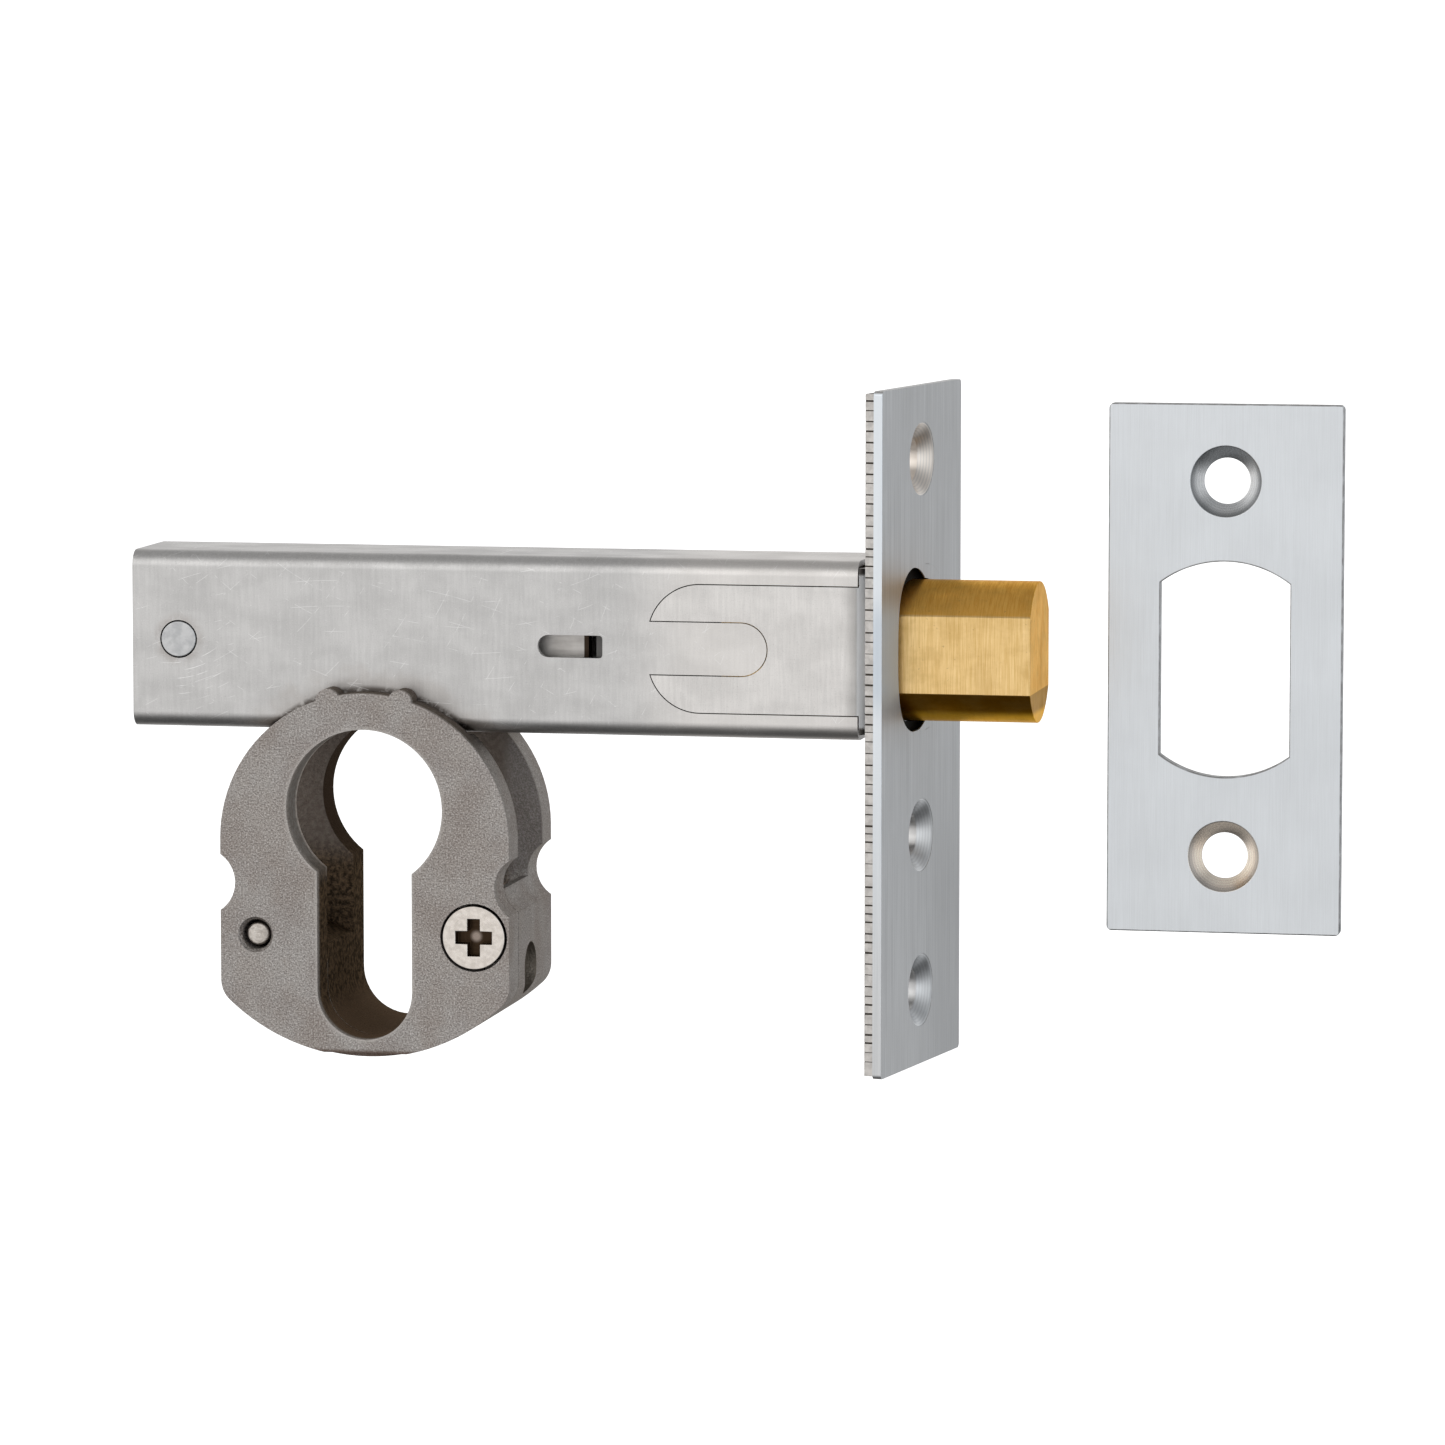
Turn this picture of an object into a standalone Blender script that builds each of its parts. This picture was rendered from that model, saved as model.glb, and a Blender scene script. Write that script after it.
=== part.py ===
"""Mortice deadbolt for a euro profile cylinder, with its strike plate laid out beside it.

The bolt throws along +X, +Z is up, and the origin is on the case's centre line, level with the forend's
outer face. Every length is in metres. The bolt is thrown at rest.
"""

import math

import bmesh
import bpy
from mathutils import Matrix, Vector

MM = 0.001

# Case: a folded steel tube
CASE_REAR_X = -84.9 * MM
CASE_FRONT_X = -5.75 * MM
CASE_WIDTH = 14.0 * MM
CASE_HEIGHT = 19.0 * MM
CASE_WALL = 0.6 * MM
CASE_BEND = 1.7 * MM
RIVET_X = -79.8 * MM
RIVET_RADIUS = 1.92 * MM
SLOT_X = (-40.3 * MM, -33.25 * MM)
SLOT_HEIGHT = 2.4 * MM
SEAM = 0.11 * MM

# Bracket that carries the forend: fork arms let into the case's sides
ARM_HEIGHT = 13.56 * MM
ARM_TIP_X = -28.0 * MM
ARM_CURVE = 5.6 * MM
FORK_HEIGHT = 5.8 * MM
FORK_END_X = -18.3 * MM
WEB_FRONT_X = -4.6 * MM
WEB_CORNER = 1.5 * MM

# Forend and its swivel
FOREND_WIDTH = 25.0 * MM
FOREND_TOP = 27.8 * MM
FOREND_BOTTOM = -44.5 * MM
OUTER_THICKNESS = 0.95 * MM
INNER_THICKNESS = 0.85 * MM
PLATE_GAP = 0.1 * MM
FOREND_HOLE_RADIUS = 8.7 * MM
FOREND_HOLE_FLAT = 7.1 * MM
INNER_HOLE_HALF = 7.75 * MM
INNER_HOLE_CURVE = 10.0 * MM
SWIVEL_X = -3.4 * MM
SWIVEL_ANGLE = math.radians(-9.5)
BRACKET_EAR = (7.75 * MM, 8.3 * MM)
FOREND_EAR = (8.42 * MM, 9.0 * MM)
EAR_REACH = 0.8 * MM
PIN_RADIUS = 0.5 * MM
PIN_HOLE_RADIUS = 0.56 * MM
SCREW_HOLE_Z = (20.0 * MM, -20.0 * MM, -36.6 * MM)
SINK_RADIUS = 3.8 * MM
SCREW_HOLE_RADIUS = 2.45 * MM

# Bolt: a bar with two flats
BOLT_Z = -0.3 * MM
BOLT_RADIUS = 7.5 * MM
BOLT_FLAT = 6.3 * MM
BOLT_THROW = 12.5 * MM
BOLT_REAR_X = -20.6 * MM
CARRIER_REAR_X = -34.1 * MM
TAIL_REAR_X = -71.8 * MM
TAIL_Y = (-2.7 * MM, 0.3 * MM)
TALON_X = -52.45 * MM
TALON_GAP = 10.0 * MM
STUMP_X = -43.8 * MM
STUMP_Z = 0.4 * MM
STUMP_RADIUS = 1.2 * MM
HEAD_PIN_X = (-12.6 * MM, -17.6 * MM)
HEAD_PIN_RADIUS = 1.28 * MM
HEAD_PIN_HOLE_RADIUS = 1.35 * MM
ROLLER_Z = (-3.4 * MM, 3.4 * MM)
ROLLER_RADIUS = 1.8 * MM
TAIL_RIVET_X = (-26.6 * MM, -31.2 * MM)
TAIL_RIVET_Z = 3.9 * MM

# Locking lever
LEVER_Y = (-4.4 * MM, -3.0 * MM)
LEVER_FRONT_X = -35.25 * MM
LEVER_LIFT = math.radians(4.0)
LEVER_BOTTOM = -3.6 * MM
LEVER_TOP = 3.2 * MM

# Cylinder housing: two castings clamped round the case
HOUSING_X = -58.65 * MM
HOUSING_DEPTH = 20.0 * MM
HOUSING_ARCH_Z = -21.05 * MM
HOUSING_HALF = 15.87 * MM
HOUSING_BOTTOM = -44.28 * MM
HOUSING_BOTTOM_RADIUS = 22.0 * MM
HOUSING_CORNER = 3.0 * MM
GATE_Z = -43.8 * MM
GATE_DEPTH = 0.9 * MM
BORE_Z = -17.6 * MM
BORE_RADIUS = 8.55 * MM
KEYWAY_HALF = 5.2 * MM
KEYWAY_END_Z = -37.15 * MM
CAM_RADIUS = 16.1 * MM
CAM_HALF = 5.5 * MM
PARTING_Y = -5.6 * MM
LEDGE_Z = -26.25 * MM
NOTCH_RADIUS = 3.6 * MM
NOTCH_OFFSET = 17.85 * MM
NOTCH_Z = -25.75 * MM
HOUSING_SCREW = (11.98 * MM, -31.05 * MM)
SCREW_HEAD_RADIUS = 3.38 * MM
RECESS_ARM = 2.0 * MM
RECESS_HALF = 0.68 * MM
HOUSING_DOWEL = (-12.0 * MM, -31.35 * MM)
SIDE_HOLE_Z = -35.45 * MM
SIDE_HOLE_RADIUS = 2.8 * MM
PEG_SPREAD = 3.95 * MM
PEG_Z = -6.05 * MM

# Strike plate
STRIKE_CENTRE = (31.22 * MM, 7.95 * MM, -2.5 * MM)
STRIKE_WIDTH = 25.0 * MM
STRIKE_HEIGHT = 56.4 * MM
STRIKE_THICKNESS = 1.5 * MM
STRIKE_HOLE_RADIUS = 11.5 * MM
STRIKE_HOLE_FLAT = 6.95 * MM
STRIKE_SCREW_Z = 20.0 * MM

GAP = 0.3 * MM
ARC_STEPS = 24

for old in list(bpy.data.objects):
    bpy.data.objects.remove(old)

PARTS = bpy.data.collections.new("euro_deadbolt")
CUTTERS = bpy.data.collections.new("cutters")
bpy.context.scene.collection.children.link(PARTS)
bpy.context.scene.collection.children.link(CUTTERS)


# ---------------------------------------------------------------- helpers

def material(name, colour, roughness, metallic=1.0):
    """A plain Principled material."""
    made = bpy.data.materials.new(name)
    made.use_nodes = True
    shader = made.node_tree.nodes["Principled BSDF"]
    shader.inputs["Base Color"].default_value = (*colour, 1.0)
    shader.inputs["Roughness"].default_value = roughness
    shader.inputs["Metallic"].default_value = metallic
    return made


def add_object(name, mesh, collection=PARTS):
    """Link a mesh as an object."""
    made = bpy.data.objects.new(name, mesh)
    collection.objects.link(made)
    return made


def finish(part, colour, roughness, metallic=1.0):
    """Give a part its own material and smooth shading with sharp edges kept."""
    part.data.materials.clear()
    part.data.materials.append(material(part.name + "_material", colour, roughness, metallic))
    part.data.shade_smooth()
    part.data.set_sharp_from_angle(angle=math.radians(30))
    return part


AXES = {
    "X": Matrix(((0, 0, 1), (1, 0, 0), (0, 1, 0))),
    "Y": Matrix(((1, 0, 0), (0, 0, -1), (0, 1, 0))),
    "Z": Matrix.Identity(3),
}


def prism(name, outlines, axis, low, high, collection=PARTS):
    """A flat outline, with any holes, extruded from low to high along an axis.

    Outline points are (y, z) for axis X, (x, z) for axis Y and (x, y) for axis Z.
    """
    curve = bpy.data.curves.new(name, "CURVE")
    curve.dimensions = "2D"
    curve.fill_mode = "BOTH"
    curve.extrude = (high - low) / 2
    for outline in outlines:
        spline = curve.splines.new("POLY")
        spline.points.add(len(outline) - 1)
        for point, (u, v) in zip(spline.points, outline):
            point.co = (u, v, 0.0, 1.0)
        spline.use_cyclic_u = True
    shape = bpy.data.objects.new(name + "_outline", curve)
    CUTTERS.objects.link(shape)
    bpy.context.view_layer.update()
    evaluated = shape.evaluated_get(bpy.context.evaluated_depsgraph_get())
    mesh = bpy.data.meshes.new_from_object(evaluated)
    bpy.data.objects.remove(shape)
    middle = Vector([(low + high) / 2 if letter == axis else 0.0 for letter in "XYZ"])
    mesh.transform(Matrix.Translation(middle) @ AXES[axis].to_4x4())
    weld(mesh)
    return add_object(name, mesh, collection)


def weld(mesh):
    """Join points that lie on each other and point the faces outward."""
    bm = bmesh.new()
    bm.from_mesh(mesh)
    bmesh.ops.remove_doubles(bm, verts=bm.verts, dist=0.000001)
    bmesh.ops.recalc_face_normals(bm, faces=bm.faces)
    bm.to_mesh(mesh)
    bm.free()


def box(name, low, high, collection=PARTS):
    """A box between two corners."""
    bm = bmesh.new()
    bmesh.ops.create_cube(bm, size=1.0)
    size = Vector(high) - Vector(low)
    centre = (Vector(high) + Vector(low)) / 2
    bm.transform(Matrix.Translation(centre) @ Matrix.Diagonal((*size, 1.0)))
    mesh = bpy.data.meshes.new(name)
    bm.to_mesh(mesh)
    bm.free()
    return add_object(name, mesh, collection)


def rod(name, axis, start, end, centre, radius, end_radius=None, steps=32, collection=PARTS):
    """A cylinder or cone along an axis, centred on the other two coordinates."""
    bm = bmesh.new()
    bmesh.ops.create_cone(
        bm,
        cap_ends=True,
        segments=steps,
        radius1=radius,
        radius2=radius if end_radius is None else end_radius,
        depth=end - start,
    )
    middle = list(centre)
    middle.insert("XYZ".index(axis), (start + end) / 2)
    turn = {
        "X": Matrix.Rotation(math.pi / 2, 4, "Y"),
        "Y": Matrix.Rotation(-math.pi / 2, 4, "X"),
        "Z": Matrix.Identity(4),
    }[axis]
    bm.transform(Matrix.Translation(middle) @ turn)
    mesh = bpy.data.meshes.new(name)
    bm.to_mesh(mesh)
    bm.free()
    return add_object(name, mesh, collection)


def turned(name, axis, origin, centre, direction, profile, steps):
    """A solid turned from (radius, height) points, top to bottom, with its height along an axis."""
    mesh = bpy.data.meshes.new(name)
    points = [(radius, 0.0, height) for radius, height in profile]
    mesh.from_pydata(points, [(index, index + 1) for index in range(len(points) - 1)], [])
    shape = add_object(name + "_profile", mesh, CUTTERS)
    screw = shape.modifiers.new("turn", "SCREW")
    screw.steps = steps
    screw.render_steps = steps
    screw.use_merge_vertices = True
    screw.merge_threshold = 0.000001
    bpy.context.view_layer.update()
    evaluated = shape.evaluated_get(bpy.context.evaluated_depsgraph_get())
    solid = bpy.data.meshes.new_from_object(evaluated)
    bpy.data.objects.remove(shape)
    place = list(centre)
    place.insert("XYZ".index(axis), origin)
    along = Vector([direction if letter == axis else 0.0 for letter in "XYZ"])
    turn = Vector((0.0, 0.0, 1.0)).rotation_difference(along).to_matrix().to_4x4()
    solid.transform(Matrix.Translation(place) @ turn)
    weld(solid)
    solid.name = name
    return add_object(name, solid, CUTTERS)


def cross_hole(name, x, z, reach, radius):
    """A cutter along Y, from minus reach to plus reach."""
    return rod(name, "Y", -reach, reach, (x, z), radius, steps=20, collection=CUTTERS)


def combine(part, tool, operation):
    """Cut, join or trim a part with a tool, which stays as a hidden guide."""
    if tool.name not in CUTTERS.objects:
        PARTS.objects.unlink(tool)
        CUTTERS.objects.link(tool)
    tool.hide_render = True
    tool.display_type = "WIRE"
    modifier = part.modifiers.new(tool.name, "BOOLEAN")
    modifier.object = tool
    modifier.operation = operation
    modifier.solver = "EXACT"
    return part


def cut(part, *tools):
    for tool in tools:
        combine(part, tool, "DIFFERENCE")
    return part


def join(part, *tools):
    for tool in tools:
        combine(part, tool, "UNION")
    return part


def arc(centre, radius, start, end, steps=ARC_STEPS):
    """Points along an arc, with angles in degrees."""
    points = []
    for step in range(steps + 1):
        angle = math.radians(start + (end - start) * step / steps)
        points.append((centre[0] + radius * math.cos(angle), centre[1] + radius * math.sin(angle)))
    return points


def circle(centre, radius, steps=48):
    return arc(centre, radius, 0, 360, steps)[:-1]


def rounded_rectangle(half_width, half_height, radius, steps=8, centre=(0.0, 0.0)):
    """A rectangle outline with round corners."""
    points = []
    corners = ((1, 1, 0), (-1, 1, 90), (-1, -1, 180), (1, -1, 270))
    for side, level, angle in corners:
        middle = (
            centre[0] + side * (half_width - radius),
            centre[1] + level * (half_height - radius),
        )
        points += arc(middle, radius, angle, angle + 90, steps)
    return points


def double_d(radius, flat, centre=(0.0, 0.0), steps=ARC_STEPS):
    """A circle cut by two flats at plus and minus flat along its first coordinate."""
    edge = math.degrees(math.acos(flat / radius))
    upper = arc(centre, radius, edge, 180 - edge, steps)
    return upper + arc(centre, radius, 180 + edge, 360 - edge, steps)


def barrel(half, flat, curve, centre):
    """An opening with flats at plus and minus flat and shallow arched ends at plus and minus half."""
    edge = math.degrees(math.acos(flat / curve))
    y, z = centre
    upper = arc((y, z + half - curve), curve, edge, 180 - edge)
    return upper + arc((y, z - half + curve), curve, 180 + edge, 360 - edge)


# ---------------------------------------------------------------- case and bracket

def fork_arm_outline(grow=0.0):
    """Upper half of the fork arm from its front end round to the end of the fork's slot."""
    half = ARM_HEIGHT / 2
    curve_centre = (ARM_TIP_X + 5.3 * MM, half - ARM_CURVE)
    slot = FORK_HEIGHT / 2 - grow
    tip_angle = 180 - math.degrees(math.asin((slot - curve_centre[1]) / (ARM_CURVE + grow)))
    outer = arc(curve_centre, ARM_CURVE + grow, 90, tip_angle, 16)
    inner = arc((FORK_END_X, 0.0), slot, 90, 0, 12)
    return outer + inner


def mirrored(half):
    """Close an upper half outline with its mirror image below."""
    lower = [(x, -z) for x, z in reversed(half) if abs(z) > 0.000001]
    return half + lower


def side_slot_outline():
    """A slot that is round at the rear and square, with small radii, at the front."""
    half = SLOT_HEIGHT / 2
    small = 0.35 * MM
    rear, front = SLOT_X
    points = arc((rear + half, 0.0), half, 90, 270, 12)
    points += arc((front - small, -half + small), small, 270, 360, 4)
    points += arc((front - small, half - small), small, 0, 90, 4)
    return points


def tube(name, outline, low, high, wall):
    """An open tube along X with a given wall."""
    bm = bmesh.new()
    ends = [[bm.verts.new((x, y, z)) for y, z in outline] for x in (low, high)]
    count = len(outline)
    for index in range(count):
        following = (index + 1) % count
        bm.faces.new((ends[0][index], ends[0][following], ends[1][following], ends[1][index]))
    bmesh.ops.recalc_face_normals(bm, faces=bm.faces)
    mesh = bpy.data.meshes.new(name)
    bm.to_mesh(mesh)
    bm.free()
    part = add_object(name, mesh)
    shell = part.modifiers.new("wall", "SOLIDIFY")
    shell.thickness = wall
    shell.offset = -1.0
    shell.use_even_offset = True
    return part


def make_case_shell():
    outline = rounded_rectangle(CASE_WIDTH / 2, CASE_HEIGHT / 2, CASE_BEND)
    part = tube("case_shell", outline, CASE_REAR_X, CASE_FRONT_X, CASE_WALL)
    reach = CASE_WIDTH
    front = [(CASE_FRONT_X + GAP * 4, ARM_HEIGHT / 2 + SEAM)]
    arms = prism("arm_recess", [mirrored(front + fork_arm_outline(SEAM))], "Y", -reach, reach, CUTTERS)
    slot = prism("side_slot", [side_slot_outline()], "Y", -reach, 0.0, CUTTERS)
    rivet_hole = RIVET_RADIUS + 0.13 * MM
    rivet = rod("rivet_hole", "Y", -reach, reach, (RIVET_X, 0.0), rivet_hole, steps=32, collection=CUTTERS)
    cam_half = 13.3 * MM
    cam_low = (HOUSING_X - cam_half, -5.4 * MM, -CASE_HEIGHT)
    cam_high = (HOUSING_X + cam_half, 5.4 * MM, -CASE_HEIGHT / 2 + 2 * CASE_WALL)
    cam = box("cam_opening", cam_low, cam_high, CUTTERS)
    cut(part, arms, slot, rivet, cam)
    for side in (-1, 1):
        centre = (HOUSING_X + side * PEG_SPREAD, PEG_Z)
        cut(part, cross_hole(f"peg_hole_{side + 2}", *centre, reach, 1.25 * MM))
    return finish(part, (0.56, 0.55, 0.54), 0.38)


def make_front_bracket():
    """A folded strap: a web across the case's mouth and a fork arm let into each side."""
    half = CASE_WIDTH / 2
    rear = ARM_TIP_X - 1.0 * MM
    outer = [(rear, -half)]
    outer += arc((WEB_FRONT_X - WEB_CORNER, -half + WEB_CORNER), WEB_CORNER, 270, 360, 6)
    outer += arc((WEB_FRONT_X - WEB_CORNER, half - WEB_CORNER), WEB_CORNER, 0, 90, 6)
    outer += [(rear, half)]
    inner_half = half - CASE_WALL
    inner_radius = WEB_CORNER - CASE_WALL
    inner_x = WEB_FRONT_X - WEB_CORNER
    inner = [(rear, inner_half)]
    inner += arc((inner_x, inner_half - inner_radius), inner_radius, 90, 0, 6)
    inner += arc((inner_x, -inner_half + inner_radius), inner_radius, 0, -90, 6)
    inner += [(rear, -inner_half)]
    web_height = CASE_HEIGHT / 2 - CASE_WALL - 0.1 * MM
    part = prism("front_bracket", [outer + inner], "Z", -web_height, web_height)
    web_rear = CASE_FRONT_X + 0.12 * MM
    trim_half = [(0.0, web_height + GAP), (web_rear, web_height + GAP), (web_rear, ARM_HEIGHT / 2)]
    trim_outline = mirrored(trim_half + fork_arm_outline())
    trim = prism("arm_trim", [trim_outline], "Y", -CASE_WIDTH, CASE_WIDTH, CUTTERS)
    combine(part, trim, "INTERSECT")
    opening = double_d(BOLT_RADIUS + 0.22 * MM, BOLT_FLAT + 0.07 * MM, (0.0, BOLT_Z))
    passage = prism("web_opening", [opening], "X", -9.0 * MM, 0.0, CUTTERS)
    cut(part, passage)
    add_ears(part, BRACKET_EAR, 1.4 * MM, WEB_FRONT_X - GAP, SWIVEL_X + EAR_REACH)
    return finish(part, (0.58, 0.56, 0.54), 0.36)


def add_ears(part, span, half_width, rear, front):
    """Two ears, above and below the bolt, with a hole for the swivel's pins."""
    for side in (-1, 1):
        levels = sorted(BOLT_Z + side * level for level in span)
        low = (rear, -half_width, levels[0])
        high = (front, half_width, levels[1])
        join(part, box(f"{part.name}_ear_{side + 2}", low, high, CUTTERS))
    reach = CASE_HEIGHT / 2 + MM
    name = f"{part.name}_pin_hole"
    cut(part, rod(name, "Z", -reach, reach, (SWIVEL_X, 0.0), PIN_HOLE_RADIUS, steps=16, collection=CUTTERS))


def make_rear_rivet():
    """The rivet that closes the case's rear end and carries the lever."""
    half = CASE_WIDTH / 2 + 0.08 * MM
    part = rod("rear_rivet", "Y", -half, half, (RIVET_X, 0.0), RIVET_RADIUS, steps=40)
    return finish(part, (0.57, 0.57, 0.58), 0.35)


def make_rivet_spacers():
    """A washer and a long bush on the rear rivet that keep the lever in its place."""
    inside = CASE_WIDTH / 2 - CASE_WALL - 0.1 * MM
    spans = {
        "lever_washer": (-inside, LEVER_Y[0] - 0.1 * MM),
        "spacer_bush": (LEVER_Y[1] + 0.1 * MM, inside),
    }
    outer = circle((RIVET_X, 0.0), 2.8 * MM, 32)
    bore = circle((RIVET_X, 0.0), RIVET_RADIUS + 0.1 * MM, 32)
    for name, (low, high) in spans.items():
        finish(prism(name, [outer, bore], "Y", low, high), (0.5, 0.5, 0.5), 0.45)


# ---------------------------------------------------------------- forend

def plate_outline(width, low, high, radius):
    centre = (0.0, (low + high) / 2)
    return rounded_rectangle(width / 2, (high - low) / 2, radius, 4, centre)


def sink_cutter(name, axis, face, centre, inward):
    """A countersunk hole's cutter, turned from one profile: a cone at the face and a through hole."""
    outside = 0.4 * MM
    depth = SINK_RADIUS - SCREW_HOLE_RADIUS
    profile = (
        (0.0, outside),
        (SINK_RADIUS + outside, outside),
        (SCREW_HOLE_RADIUS, -depth),
        (SCREW_HOLE_RADIUS, -4.0 * MM),
        (0.0, -4.0 * MM),
    )
    return turned(name, axis, face, centre, -inward, profile, 48)


def make_outer_forend():
    outline = plate_outline(FOREND_WIDTH, FOREND_BOTTOM, FOREND_TOP, 0.5 * MM)
    hole = double_d(FOREND_HOLE_RADIUS, FOREND_HOLE_FLAT, (0.0, BOLT_Z))
    part = prism("outer_forend", [outline, hole], "X", -OUTER_THICKNESS, 0.0)
    cut_forend_holes(part)
    return finish(part, (0.38, 0.39, 0.385), 0.34)


def make_inner_forend():
    """The thinner plate behind, with two ears that hang on the swivel's pins."""
    front = -OUTER_THICKNESS - PLATE_GAP
    rear = front - INNER_THICKNESS
    inset = 0.3 * MM
    outline = plate_outline(FOREND_WIDTH - inset, FOREND_BOTTOM + inset, FOREND_TOP - inset, 0.4 * MM)
    hole = barrel(INNER_HOLE_HALF, FOREND_HOLE_FLAT, INNER_HOLE_CURVE, (0.0, BOLT_Z))
    part = prism("inner_forend", [outline, hole], "X", rear, front)
    add_ears(part, FOREND_EAR, 1.3 * MM, SWIVEL_X - EAR_REACH, rear + INNER_THICKNESS / 2)
    cut_forend_holes(part)
    return finish(part, (0.52, 0.5, 0.48), 0.45)


def cut_forend_holes(part):
    for index, z in enumerate(SCREW_HOLE_Z):
        cut(part, sink_cutter(f"{part.name}_sink_{index}", "X", 0.0, (0.0, z), -1))


def make_forend_pins():
    """Two short vertical pins on which the forend swivels."""
    inner, outer = BRACKET_EAR[0], FOREND_EAR[1] + 0.2 * MM
    for name, low, high in (
        ("upper_forend_pin", BOLT_Z + inner, BOLT_Z + outer),
        ("lower_forend_pin", BOLT_Z - outer, BOLT_Z - inner),
    ):
        finish(rod(name, "Z", low, high, (SWIVEL_X, 0.0), PIN_RADIUS, steps=16), (0.5, 0.5, 0.5), 0.35)


# ---------------------------------------------------------------- bolt

def make_bolt_head():
    outline = double_d(BOLT_RADIUS, BOLT_FLAT, (0.0, BOLT_Z), 32)
    part = prism("bolt_head", [outline], "X", BOLT_REAR_X, BOLT_THROW)
    slot_low = (BOLT_REAR_X - MM, -2.15 * MM, -9.0 * MM)
    slot_high = (-9.8 * MM, 2.15 * MM, 9.0 * MM)
    cut(part, box("head_slot", slot_low, slot_high, CUTTERS))
    for index, x in enumerate(HEAD_PIN_X):
        cut(part, cross_hole(f"head_pin_hole_{index}", x, 0.0, 8 * MM, HEAD_PIN_HOLE_RADIUS))
    for index, z in enumerate(ROLLER_Z):
        name = f"roller_bore_{index}"
        radius = ROLLER_RADIUS + 0.2 * MM
        cut(part, rod(name, "X", -10 * MM, 9.3 * MM, (0.0, z), radius, steps=24, collection=CUTTERS))
    return finish(part, (0.55, 0.36, 0.12), 0.3)


def make_anti_saw_rollers():
    for name, z in zip(("lower_anti_saw_roller", "upper_anti_saw_roller"), ROLLER_Z):
        part = rod(name, "X", -9.3 * MM, 8.9 * MM, (0.0, z), ROLLER_RADIUS, steps=24)
        finish(part, (0.42, 0.42, 0.44), 0.25)


def make_bolt_carrier():
    """A steel block that joins the brass head to the tail and clears the lever."""
    half = 6.1 * MM
    part = box("bolt_carrier", (CARRIER_REAR_X, -half, -6 * MM), (BOLT_REAR_X - GAP, half, 6 * MM))
    tongue_low = (-21.5 * MM, -2.0 * MM, -5.2 * MM)
    tongue_high = (-10.1 * MM, 2.0 * MM, 5.2 * MM)
    join(part, box("carrier_tongue", tongue_low, tongue_high, CUTTERS))
    pocket_low = (CARRIER_REAR_X - MM, LEVER_Y[0] - 0.2 * MM, -8 * MM)
    pocket_high = (-21.9 * MM, TAIL_Y[1] + 0.15 * MM, 8 * MM)
    cut(part, box("carrier_pocket", pocket_low, pocket_high, CUTTERS))
    for index, x in enumerate(HEAD_PIN_X):
        cut(part, cross_hole(f"tongue_hole_{index}", x, 0.0, 3 * MM, HEAD_PIN_HOLE_RADIUS))
    for index, x in enumerate(TAIL_RIVET_X):
        cut(part, cross_hole(f"carrier_rivet_hole_{index}", x, TAIL_RIVET_Z, 8 * MM, 1.1 * MM))
    return finish(part, (0.5, 0.5, 0.5), 0.4)


def tail_outline():
    """The tail's side view: a bar over the cam, and a talon of two teeth that the cam drives."""
    bar_low, bar_high = 3.2 * MM, 6.8 * MM
    tooth_low, roof = -7.6 * MM, -1.2 * MM
    gap = TALON_GAP / 2
    front_tooth = TALON_X + gap
    rear_tooth = TALON_X - gap
    lead = 1.2 * MM
    return [
        (TAIL_REAR_X, bar_low),
        (rear_tooth - 4.8 * MM, bar_low),
        (rear_tooth - 4.2 * MM, tooth_low + lead),
        (rear_tooth - 3.4 * MM, tooth_low),
        (rear_tooth - lead, tooth_low),
        (rear_tooth, tooth_low + lead * 2),
        (rear_tooth, roof - MM),
        (rear_tooth + MM, roof),
        (front_tooth - MM, roof),
        (front_tooth, roof - MM),
        (front_tooth, tooth_low + lead * 2),
        (front_tooth + lead, tooth_low),
        (front_tooth + 3.4 * MM, tooth_low),
        (front_tooth + 4.6 * MM, tooth_low + lead),
        (front_tooth + 6.4 * MM, -1.6 * MM),
        (-39.4 * MM, 2.4 * MM),
        (-24.0 * MM, 2.4 * MM),
        (-24.0 * MM, 5.4 * MM),
        (-36.0 * MM, bar_high),
        (TAIL_REAR_X, bar_high),
    ]


def make_bolt_tail():
    stump_hole = circle((STUMP_X, STUMP_Z), STUMP_RADIUS + 0.06 * MM, 20)
    rivet_holes = [circle((x, TAIL_RIVET_Z), 1.06 * MM, 16) for x in TAIL_RIVET_X]
    part = prism("bolt_tail", [tail_outline(), stump_hole, *rivet_holes], "Y", *TAIL_Y)
    return finish(part, (0.47, 0.46, 0.45), 0.42)


def make_bolt_fixings():
    """Pins through head and tongue, rivets through tail and carrier, and the stump."""
    side = 6.1 * MM
    for name, x in zip(("front_head_pin", "rear_head_pin"), HEAD_PIN_X):
        finish(rod(name, "Y", -side, side, (x, 0.0), HEAD_PIN_RADIUS, steps=20), (0.5, 0.5, 0.5), 0.35)
    for name, x in zip(("front_tail_rivet", "rear_tail_rivet"), TAIL_RIVET_X):
        finish(rod(name, "Y", TAIL_Y[0], side, (x, TAIL_RIVET_Z), MM, steps=16), (0.5, 0.5, 0.5), 0.35)
    near = LEVER_Y[0] - 0.15 * MM
    part = rod("stump_pin", "Y", near, TAIL_Y[1], (STUMP_X, STUMP_Z), STUMP_RADIUS, steps=20)
    finish(part, (0.5, 0.5, 0.5), 0.3)


# ---------------------------------------------------------------- lever

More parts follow.
